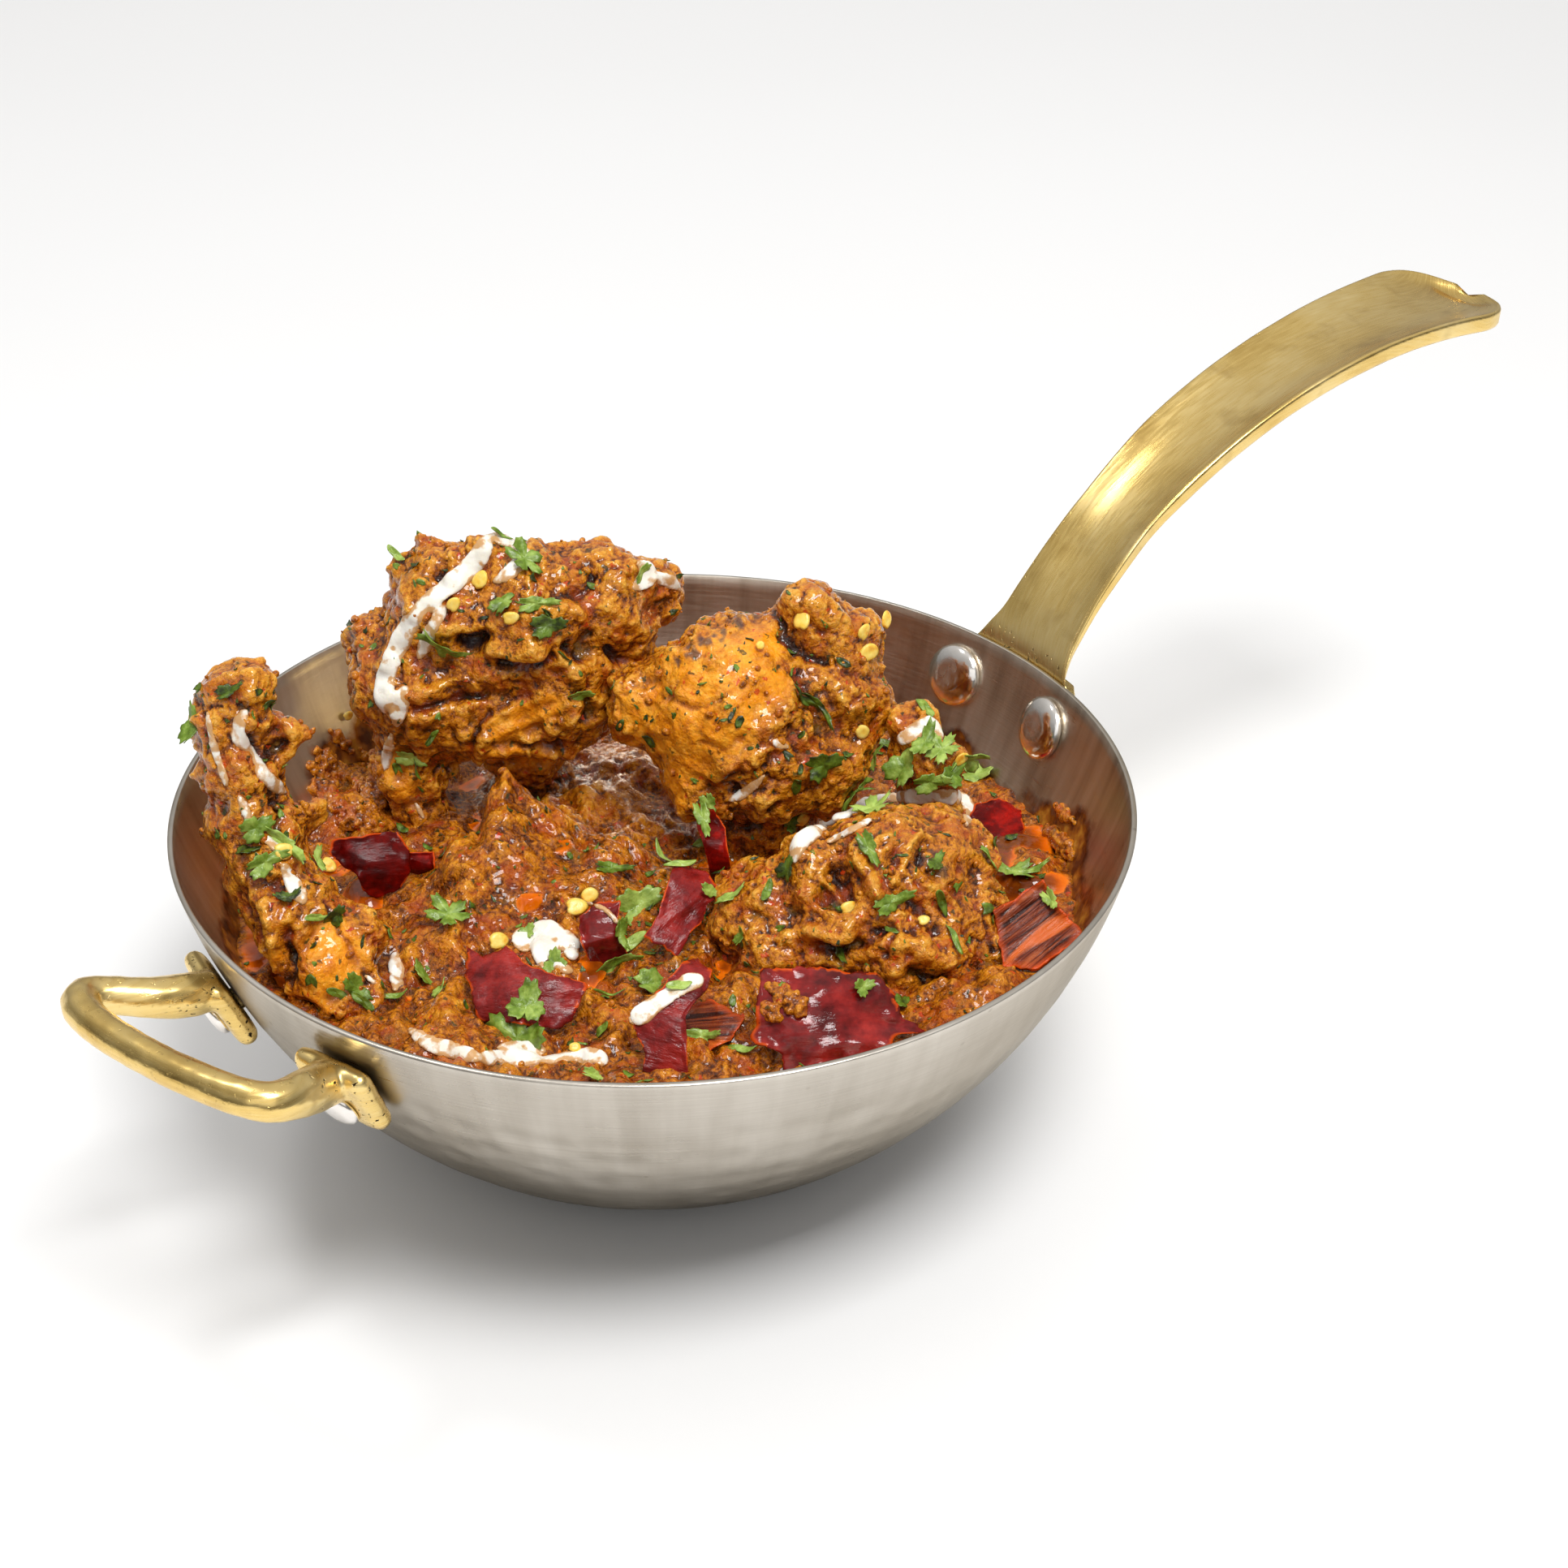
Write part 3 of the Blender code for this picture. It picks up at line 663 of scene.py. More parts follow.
def leaf_material():
    n = Nodes("coriander_leaf")
    green = n.ramp(
        n.plus(n.mark("shade"), n.remap(n.noise(0.0022, 4), 0.34, 0.66, -0.22, 0.22)),
        (0.0, (0.018, 0.030, 0.0025)),
        (0.25, (0.085, 0.140, 0.009)),
        (0.5, (0.155, 0.255, 0.022)),
        (0.9, (0.40, 0.54, 0.11)),
    )
    return n.finish(
        Base_Color=green,
        Roughness=n.fade(n.noise(0.001, 2), 0.3, 0.7, 0.24, 0.46),
        Normal=n.bump(n.noise(0.0009, 3), 0.0004, 0.6),
        Subsurface_Weight=0.10,
        Subsurface_Radius=(0.0008, 0.0012, 0.0003),
    )


def seed_material():
    n = Nodes("chilli_seed")
    flesh = n.ramp(
        n.noise(0.0018, 3),
        (0.30, (0.80, 0.36, 0.020)),
        (0.45, (0.94, 0.62, 0.085)),
        (0.75, (0.98, 0.78, 0.22)),
    )
    return n.finish(
        Base_Color=flesh,
        Roughness=n.fade(n.noise(0.001, 2), 0.3, 0.7, 0.24, 0.42),
        Normal=n.bump(n.noise(0.0008, 2), 0.0002, 0.5),
        Subsurface_Weight=0.15,
        Subsurface_Radius=(0.002, 0.001, 0.0004),
    )


def steel_material():
    """Brushed steel, lightly hammered; warm tarnish inside, with a film of sauce above the food, and painted
    shadow on the outer wall: darker towards the base, standing for its reflection of the shadowed floor.
    """
    n = Nodes("pan_steel")
    brushed = n.noise(0.004, 4, n.along((0.06, 9, 1)))
    streaks = n.noise(0.005, 4, n.along((1.2, 0.12, 1)), distortion=0.2)
    cloud = n.noise(0.030, 4)
    fine = n.noise(0.0018, 4, n.along((0.25, 2.5, 1)))
    bare = n.ramp(
        n.blend((cloud, 0.55), (brushed, 0.2), (streaks, 0.25)),
        (0.34, (0.48, 0.435, 0.375)),
        (0.52, (0.60, 0.555, 0.49)),
        (0.68, (0.70, 0.655, 0.59)),
    )
    tarnish = n.ramp(
        n.blend((cloud, 0.5), (streaks, 0.5)),
        (0.34, (0.46, 0.39, 0.31)),
        (0.50, (0.67, 0.60, 0.50)),
        (0.66, (0.82, 0.76, 0.67)),
    )
    # Painted shadow: the outer wall darkens towards the base, standing for its reflection of the shadowed
    # floor.
    bare = n.tint(bare, n.mark("low"), 0.9, (0.10, 0.086, 0.068))
    colour = n.mix(n.mark("inside"), bare, tarnish)
    spots = n.times(n.fade(n.cells(0.006), 0.05, 0.11, 1.0, 0.0), n.fade(n.noise(0.02, 2), 0.55, 0.65))
    colour = n.tint(colour, spots, 0.35, (0.16, 0.11, 0.07))
    reach = n.remap(n.noise(0.013, 5), 0.3, 0.7, -0.40, 0.40)
    reach = n.plus(reach, n.remap(n.noise(0.045, 2), 0.38, 0.62, -0.45, 0.15))
    splash = n.plus(n.mark("splash"), reach)
    film = n.fade(splash, 0.60, 0.86)
    sauce = n.ramp(
        n.noise(0.004, 4),
        (0.38, (0.09, 0.018, 0.002)),
        (0.52, (0.30, 0.090, 0.006)),
        (0.66, (0.48, 0.21, 0.02)),
    )
    height = n.blend((brushed, 0.7), (fine, 0.3), (n.times(film, n.noise(0.0015, 3)), 2.5))
    return n.finish(
        Base_Color=n.mix(film, colour, sauce),
        Metallic=n.fade(splash, 0.80, 0.97, 1.0, 0.0),
        Roughness=n.fade(n.blend((fine, 0.5), (cloud, 0.5)), 0.3, 0.7, 0.24, 0.42),
        Normal=n.bump(height, 0.00012, 0.35),
        Specular_Tint=(0.55, 0.52, 0.47, 1),
    )


def rivet_material():
    n = Nodes("polished_steel")
    worn = n.mark("worn")
    cloud = n.noise(0.004, 4)
    clean = n.ramp(cloud, (0.35, (0.86, 0.82, 0.77)), (0.65, (0.96, 0.93, 0.89)))
    return n.finish(
        Base_Color=n.tint(clean, worn, 0.12, (0.50, 0.38, 0.30)),
        Roughness=n.fade(n.blend((cloud, 0.6), (worn, 0.25)), 0.2, 0.7, 0.12, 0.34),
        Normal=n.bump(n.noise(0.0012, 3), 0.0001, 0.4),
        Metallic=1.0,
    )


def brass_material():
    """Cast brass, satin on the faces, with brown patina, file marks and small dark pits."""
    n = Nodes("cast_brass")
    cloud = n.noise(0.022, 4)
    filed = n.noise(0.0022, 4, n.along((0.35, 3.2, 1)))
    bright = n.ramp(
        n.blend((cloud, 0.7), (filed, 0.3)),
        (0.32, (0.66, 0.43, 0.12)),
        (0.48, (0.84, 0.60, 0.21)),
        (0.66, (0.93, 0.73, 0.34)),
    )
    patina = n.fade(n.noise(0.009, 5, distortion=0.4), 0.56, 0.74)
    colour = n.tint(bright, patina, 0.4, (0.40, 0.24, 0.065))
    pit = n.times(n.mark("pits"), n.fade(n.noise(0.0011, 3, distortion=0.5), 0.64, 0.68))
    rough = n.fade(n.blend((filed, 0.5), (cloud, 0.5)), 0.3, 0.7, 0.20, 0.36)
    return n.finish(
        Base_Color=n.mix(pit, colour, (0.035, 0.022, 0.010)),
        Roughness=n.plus(rough, n.times(pit, 0.4)),
        Normal=n.bump(n.blend((filed, 0.4), (pit, -1.5)), 0.00025, 0.5),
        Metallic=1.0,
    )


STEEL = steel_material()
RIVET_STEEL = rivet_material()
BRASS = brass_material()
MASALA_NODES, MASALA_LOOKS = masala_looks("masala_on_chicken")
MASALA = MASALA_NODES.finish(**MASALA_LOOKS)
GRAVY = gravy_material()
DRY_TONES = ((0.080, 0.0030, 0.0032), (0.20, 0.0085, 0.0080), (0.36, 0.021, 0.016))
WET_TONES = ((0.045, 0.0008, 0.0005), (0.13, 0.0020, 0.0010), (0.38, 0.006, 0.002))
CHILLI_LOOKS = {
    "dry": chilli_material("dried_chilli", DRY_TONES, 0.0006, 1.0, 0.35),
    "soaked": chilli_material("soaked_chilli", WET_TONES, 0.0003, 1.0, 0.12),
    "oiled": chilli_material("oiled_chilli", DRY_TONES, 0.0002, 0.4, 0.4),
}
CREAM = cream_material()
LEAF = leaf_material()
SEED = seed_material()


def dress(obj, slot, *nodes):
    """Puts a piece on the object instead of the solids that it stands for; the slot is not used."""
    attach(obj, "root")
    if nodes:
        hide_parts(*nodes)
    return obj


# ---- pan

PAN_STEPS = 360
OUTER_ROWS = 64
INNER_ROWS = 36
FLOOR_ROWS = 10
RIM_ROWS = 6
RIM_CROWN = 0.25 * MM
DENT_RADIUS = 4.6 * MM
DENT_DEPTH = 0.26 * MM
DENT_SPACING = 8.6 * MM
DENT_SCATTER = 1.4 * MM
DENT_STRENGTHS = (0.5, 1.2)
SMOOTH_BAND = 17 * MM  # below the rim, without dents
SHADED_WALL = (8 * MM, 58 * MM)  # heights over which the painted shadow on the outer wall fades out going up
SPLASH_REACH = 19  # mm above the gravy


def wall_point(slope, inset=0.0):
    """(radius, height) on the pan's wall where it has this slope, moved in from the outer face."""
    radius = WALL_ARC_RADIUS - inset
    return (
        ARC_CENTRE_RADIUS + radius * math.sin(slope),
        ARC_CENTRE_HEIGHT - radius * math.cos(slope),
    )


def wall_radius(height, inset):
    """The radius of the pan's wall at a height, moved in from the outer face."""
    radius = WALL_ARC_RADIUS - inset
    return ARC_CENTRE_RADIUS + np.sqrt(radius**2 - (ARC_CENTRE_HEIGHT - height) ** 2)


def slope_at_depth(depth):
    return math.acos((ARC_CENTRE_HEIGHT - RIM_HEIGHT + depth) / WALL_ARC_RADIUS)


def dent_centres():
    """Rows of hammer marks round the outer wall, each a little out of place."""
    centres = []
    length = DENT_SPACING / 2
    high = slope_at_depth(SMOOTH_BAND)
    while BASE_SLOPE + length / WALL_ARC_RADIUS < high:
        radius, height = wall_point(BASE_SLOPE + length / WALL_ARC_RADIUS)
        count = int(2 * math.pi * radius / DENT_SPACING)
        for step in range(count):
            angle = 2 * math.pi * (step + RANDOM.uniform(0, 0.7)) / count
            lift = RANDOM.normal(0, DENT_SCATTER)
            centres.append((radius * math.cos(angle), radius * math.sin(angle), height + lift))
        length += DENT_SPACING
    return np.array(centres)


def pan_profile():
    """(radius, height) of the inner floor, inner wall, rim, outer wall and base."""
    inner_slope = math.acos((ARC_CENTRE_HEIGHT - WALL) / (WALL_ARC_RADIUS - WALL))
    inner = [wall_point(slope, WALL) for slope in np.linspace(inner_slope, RIM_SLOPE, INNER_ROWS + 1)]
    outer = [wall_point(slope) for slope in np.linspace(RIM_SLOPE, BASE_SLOPE, OUTER_ROWS + 1)]
    middle_radius, middle_height = wall_point(RIM_SLOPE, WALL / 2)
    rim = []
    for step in range(1, RIM_ROWS):
        angle = math.pi * step / RIM_ROWS
        out, up = -math.cos(angle) * WALL / 2, math.sin(angle) * RIM_CROWN
        radius = middle_radius + out * math.sin(RIM_SLOPE) + up * math.cos(RIM_SLOPE)
        rim.append((radius, middle_height - out * math.cos(RIM_SLOPE) + up))
    floor = [(radius, WALL) for radius in np.linspace(0, inner[0][0], FLOOR_ROWS + 1)[:-1]]
    base = [(radius, 0) for radius in np.linspace(BASE_RADIUS, 0, FLOOR_ROWS + 1)[1:]]
    return floor, inner, rim, outer, base


def make_pan():
    floor, inner, rim, outer, base = pan_profile()
    pan = turned("pan_steel_body", [*floor, *inner, *rim, *outer, *base], PAN_STEPS, STEEL)
    points = coordinates(pan.data)
    inner_points = 1 + PAN_STEPS * (len(floor) - 1 + len(inner))
    first = inner_points + PAN_STEPS * len(rim)
    outside = np.arange(first, first + PAN_STEPS * len(outer))
    wall = points[outside]
    press = np.zeros(len(wall))
    for centre in dent_centres():
        near = np.abs(wall - centre).max(axis=1) < DENT_RADIUS
        away = ((wall[near] - centre) ** 2).sum(axis=1) / DENT_RADIUS**2
        dent = DENT_DEPTH * np.clip(1 - away, 0, 1) ** 1.5 * RANDOM.uniform(*DENT_STRENGTHS)
        press[near] = np.maximum(press[near], dent)
    points[outside] -= normals(pan.data)[outside] * press[:, None]
    set_coordinates(pan.data, points)
    inside = np.arange(len(points)) < inner_points
    mark(pan.data, "inside", inside)
    # Painted shadow: how strongly the outer wall is darkened towards the base, for its reflection of the
    # shadowed floor.
    mark(pan.data, "low", 1 - smooth_step(*SHADED_WALL, points[:, 2]))
    over = (points[:, 2] - RIM_HEIGHT - GRAVY_LEVEL) / MM
    mark(pan.data, "splash", inside * (1 - smooth_step(0, SPLASH_REACH, over)))
    unroll(pan.data)
    return dress(pan, "pan_steel", "pan")


def unroll(mesh):
    """Surface coordinates in metres: round the axis and along the height."""
    points = coordinates(mesh)
    index = corners(mesh)
    angle = np.arctan2(points[:, 1], points[:, 0])[index]
    sides = read(mesh.polygons, "loop_total", 1, np.int32)[:, 0]
    starts = np.cumsum(sides) - sides
    spread = np.maximum.reduceat(angle, starts) - np.minimum.reduceat(angle, starts)
    seam = np.repeat(spread > math.pi, sides)
    angle = np.where(seam & (angle < 0), angle + 2 * math.pi, angle)
    set_surface_places(mesh, np.stack([angle * RIM_RADIUS, points[index, 2]], axis=-1))


# ---- rivets

RIVET_SHANK = 2.4 * MM
RIVET_STANDOFF = 0.85 * MM
RIVET_PLAY = 0.35 * MM
RIVET_DOME = 0.36  # height as a share of the head's radius
RIVET_DENT = 0.05  # depth of the dented middle, as a share of the same
RIVET_DENT_ANGLE = 0.42  # radians from the middle of the dome
RIVET_TAIL_HEIGHT = 2.1 * MM
RIVET_TAIL = ((0.96, 0), (1, 0.2), (0.94, 0.55), (0.66, 0.9), (0.3, 1), (0, 1))  # shares of radius and height
GAP = 0.3 * MM
RIVET_STEPS = 56
RIVET_DOME_ROWS = 15
RIVETS = (  # node, azimuth in radians, then in mm depth below the rim, head and tail radius, plate
    ("handle_rivet_left", (1.3 + 15.6) / 97, 10.5, 7.2, 4.0, 3.0),
    ("handle_rivet_right", (1.3 - 15.6) / 97, 10.5, 7.2, 4.0, 3.0),
    ("loop_rivet_left", math.radians(-173.1 - 12.7), 18.7, 5.6, 4.6, 4.0),
    ("loop_rivet_right", math.radians(-173.1 + 13), 16.1, 5.6, 4.6, 4.0),
)


def wall_frame(azimuth, depth):
    """Place and axes on the outer wall: local X runs round the pan, Y up the wall and Z outward."""
    slope = slope_at_depth(depth)
    radius, height = wall_point(slope)
    level = math.sin(slope)
    outward = Vector((level * math.cos(azimuth), level * math.sin(azimuth), -math.cos(slope)))
    round_pan = Vector((-math.sin(azimuth), math.cos(azimuth), 0))
    result = Matrix((round_pan, outward.cross(round_pan), outward)).transposed().to_4x4()
    result.translation = (radius * math.cos(azimuth), radius * math.sin(azimuth), height)
    return result


def make_rivet(node, azimuth, depth, head, tail, plate):
    """A domed head with a dented middle inside the pan, and a flattened tail outside."""
    head, tail, plate = head * MM, tail * MM, plate * MM
    grip = WALL + 2 * GAP + plate + RIVET_PLAY
    profile = []
    for angle in np.linspace(0, math.pi / 2, RIVET_DOME_ROWS):
        dent = RIVET_DENT * math.exp(-((angle / RIVET_DENT_ANGLE) ** 4))
        rise = RIVET_DOME * math.cos(angle) ** 0.9 - dent
        profile.append((head * math.sin(angle), RIVET_STANDOFF + head * rise))
    profile += [
        (head * 0.985, RIVET_STANDOFF - 0.35 * MM),
        (head * 0.93, RIVET_STANDOFF - 0.6 * MM),
        (RIVET_SHANK, RIVET_STANDOFF - 0.5 * MM),
        (RIVET_SHANK, -grip),
    ]
    profile += [(tail * out, -grip - RIVET_TAIL_HEIGHT * down) for out, down in RIVET_TAIL]
    rivet = turned(node + "_dressed", profile, RIVET_STEPS, RIVET_STEEL)
    points = coordinates(rivet.data)
    radius = np.hypot(points[:, 0], points[:, 1])
    offset = np.hypot(points[:, 0] - 0.1 * head, points[:, 1] + 0.15 * head)
    worn = (1 - smooth_step(0.38 * head, 0.52 * head, offset)) * (points[:, 2] > 0)
    worn = np.maximum(worn, smooth_step(0.93 * head, head, radius) * 0.8)
    mark(rivet.data, "worn", np.maximum(worn, 0.6 * (points[:, 2] < 0)))
    points += (noise(points, 2.5 * MM, 4) * 0.05 * MM)[:, None] * unit(points + 1e-9)
    set_coordinates(rivet.data, points)
    inward = Matrix.Rotation(math.pi, 4, "X") @ Matrix.Translation((0, 0, WALL))
    rivet.data.transform(wall_frame(azimuth, depth * MM) @ inward)
    return dress(rivet, "rivet_steel", node)


# ---- long handle

HANDLE_THICKNESS = 4.2 * MM
FOOT_THICKNESS = 3 * MM
TROUGH_DEPTH = 2.6 * MM
LIP_WIDTH = 1.3 * MM
FACE_CLEARANCE = 0.4 * MM
HANDLE_ARCS = ((14.5 * MM, 76, 56.5), (115 * MM, 56.5, 23.5), (159 * MM, 23.5, -5), (28 * MM, -5, -20))
HANDLE_WIDTHS = (  # mm from the rim along the handle, full width
    (-20, 16), (-18.5, 30), (-14, 41), (-8, 43), (-3, 36), (1, 29.5), (8, 24.5), (20, 23), (40, 22.4),
    (62, 24.9), (90, 26.7), (115, 28.9), (135, 32.4), (145, 34.8), (150, 32.5), (154, 25), (156.4, 16),
    (157.5, 7),
)
HANDLE_STEP = 0.9 * MM
HANDLE_SMOOTHING = (0.05, 0.1, 0.2, 0.3, 0.2, 0.1, 0.05)
HOLLOW_STEPS = 24
LIP_POINTS = 12  # of the section after the hollow, where pits show
FOOT_END = 4 * MM
HUG_LENGTH = 12 * MM  # over which the foot follows the round wall
RISE_LENGTH = 30 * MM  # over which the foot becomes the gutter
TIP_LENGTH = 7 * MM
FULL_TROUGH = 11 * MM  # half width from which the gutter has its full depth


def handle_path(distance):
    """(out, up, slope) of the handle's upper face at a distance along it from the rim, on the XZ plane."""
    if distance < 0:
        slope = RIM_SLOPE + distance / WALL_ARC_RADIUS
        return *wall_point(slope, -FACE_CLEARANCE), slope
    out, up, slope = *wall_point(RIM_SLOPE, -FACE_CLEARANCE), RIM_SLOPE
    for radius, start, end in HANDLE_ARCS:
        first = math.radians(start)
        turn = min(distance / radius, first - math.radians(end))
        slope = first - turn
        out += radius * (math.sin(first) - math.sin(slope))
        up += radius * (math.cos(slope) - math.cos(first))
        distance -= turn * radius
    return out, up, slope


def handle_section(half, depth, side, lip):
    """The gutter's closed section as (across, normal): hollow face, rounded lips, flat sides, round back."""
    hollow = []
    for share in np.linspace(-1, 1, HOLLOW_STEPS + 1):
        step_down = 0.12 * depth * (abs(share) > 0.999)
        hollow.append((share * (half - lip), -depth * (1 - abs(share) ** 2.6) - step_down))
    right = [(half - lip * 0.62, 0.0), (half - lip * 0.25, -0.02 * lip), (half, -0.32 * lip)]
    band = [(half + 0.02 * lip, -side * share) for share in (0.25, 0.45, 0.62, 0.8)]
    back = [(half - 0.25 * lip, -side + 0.1 * lip), (half - 0.9 * lip, -side - 0.1 * lip)]
    left = [(-across, normal) for across, normal in [*right, *band, *back][::-1]]
    under = [
        (share * (half - 1.6 * lip), -side - 0.5 * MM * (1 - share * share))
        for share in (0.75, 0.5, 0.25, 0, -0.25, -0.5, -0.75)
    ]
    return np.array([*hollow, *right, *band, *back, *under, *left])


def handle_ring(place, width, length):
    """Points of the handle's section at a place along it, and the distance travelled round the section."""
    out, up, slope = handle_path(place)
    half = width / 2 * MM
    rise = smooth_step(0, RISE_LENGTH, place)
    tip = smooth_step(length - TIP_LENGTH, length, place)
    depth = TROUGH_DEPTH * rise * min(1.0, half / FULL_TROUGH) * (1 + 0.35 * tip)
    side = (FOOT_THICKNESS + (HANDLE_THICKNESS - FOOT_THICKNESS) * rise) * (1 - 0.35 * tip)
    section = handle_section(half, depth, side, min(LIP_WIDTH, half * 0.3))
    across, normal = section.T
    hug = 1 - smooth_step(0, HUG_LENGTH, place)
    sag = hug * (out - np.sqrt(out * out - across * across))
    ring = [out - sag - normal * math.sin(slope), across, up + normal * math.cos(slope)]
    travel = np.concatenate([[0], np.cumsum(np.hypot(*np.diff(section, axis=0).T))])
    return np.stack(ring, axis=-1), travel


def make_long_handle():
    length = sum(radius * math.radians(start - end) for radius, start, end in HANDLE_ARCS)
    at, widths = zip(*HANDLE_WIDTHS)
    start = at[0] * MM
    places = np.linspace(start, length, int((length - start) / HANDLE_STEP) + 1)
    spread = np.pad(np.interp(places / MM, at, widths), len(HANDLE_SMOOTHING) // 2, mode="edge")
    rings, marks, flat = [], [], []
    for place, width in zip(places, np.convolve(spread, HANDLE_SMOOTHING, mode="valid")):
        ring, travel = handle_ring(place, width, length)
        rings.append(ring)
        beyond = np.arange(len(ring)) - HOLLOW_STEPS
        marks.append(0.8 * (place < FOOT_END) + 0.25 * ((beyond > 0) & (beyond < LIP_POINTS)))
        flat.append(np.stack([np.full(len(ring), place), travel], axis=-1))
    sides = len(rings[0])
    points = np.concatenate([*rings, [rings[0].mean(axis=0), rings[-1].mean(axis=0)]])
    marks.append(np.zeros(2))
    flat.append([(places[0], 0), (places[-1], 0)])
    total = len(rings) * sides
    faces = [
        *grid_faces(len(rings), sides),
        *fan(total, 0, sides),
        *flipped(fan(total + 1, total - sides, sides)),
    ]
    handle = mesh_object("long_handle_dressed", points, faces, BRASS)
    face_outward(handle)
    push_out(handle.data, noise(coordinates(handle.data), 14 * MM, 9) * 0.12 * MM)
    mark(handle.data, "pits", np.concatenate(marks))
    set_surface_places(handle.data, np.concatenate(flat)[corners(handle.data)])
    return dress(handle, "brass", "long_handle")


# ---- loop handle

LOOP_VOXEL = 0.55 * MM
LOOP_SWELL = 0.28 * MM  # gives back what softening takes off
LOOP_UNEVENNESS = 0.10 * MM
PITTED_RADII = (104 * MM, 112 * MM)  # the pits fade out between them


def make_loop_handle():
    """The cast loop: the solid's form with its joints run together and its surface slightly uneven."""
    loop = remesh(node_copy("loop_handle", BRASS), LOOP_VOXEL, 14)
    push_out(loop.data, LOOP_SWELL + LOOP_UNEVENNESS * noise(coordinates(loop.data), 3 * MM, 21))
    points = coordinates(loop.data)
    near_wall = 1 - smooth_step(*PITTED_RADII, np.hypot(points[:, 0], points[:, 1]))
    mark(loop.data, "pits", 0.15 + 0.85 * near_wall)
    unroll(loop.data)
    return dress(loop, "brass", "loop_handle")


# ---- chicken

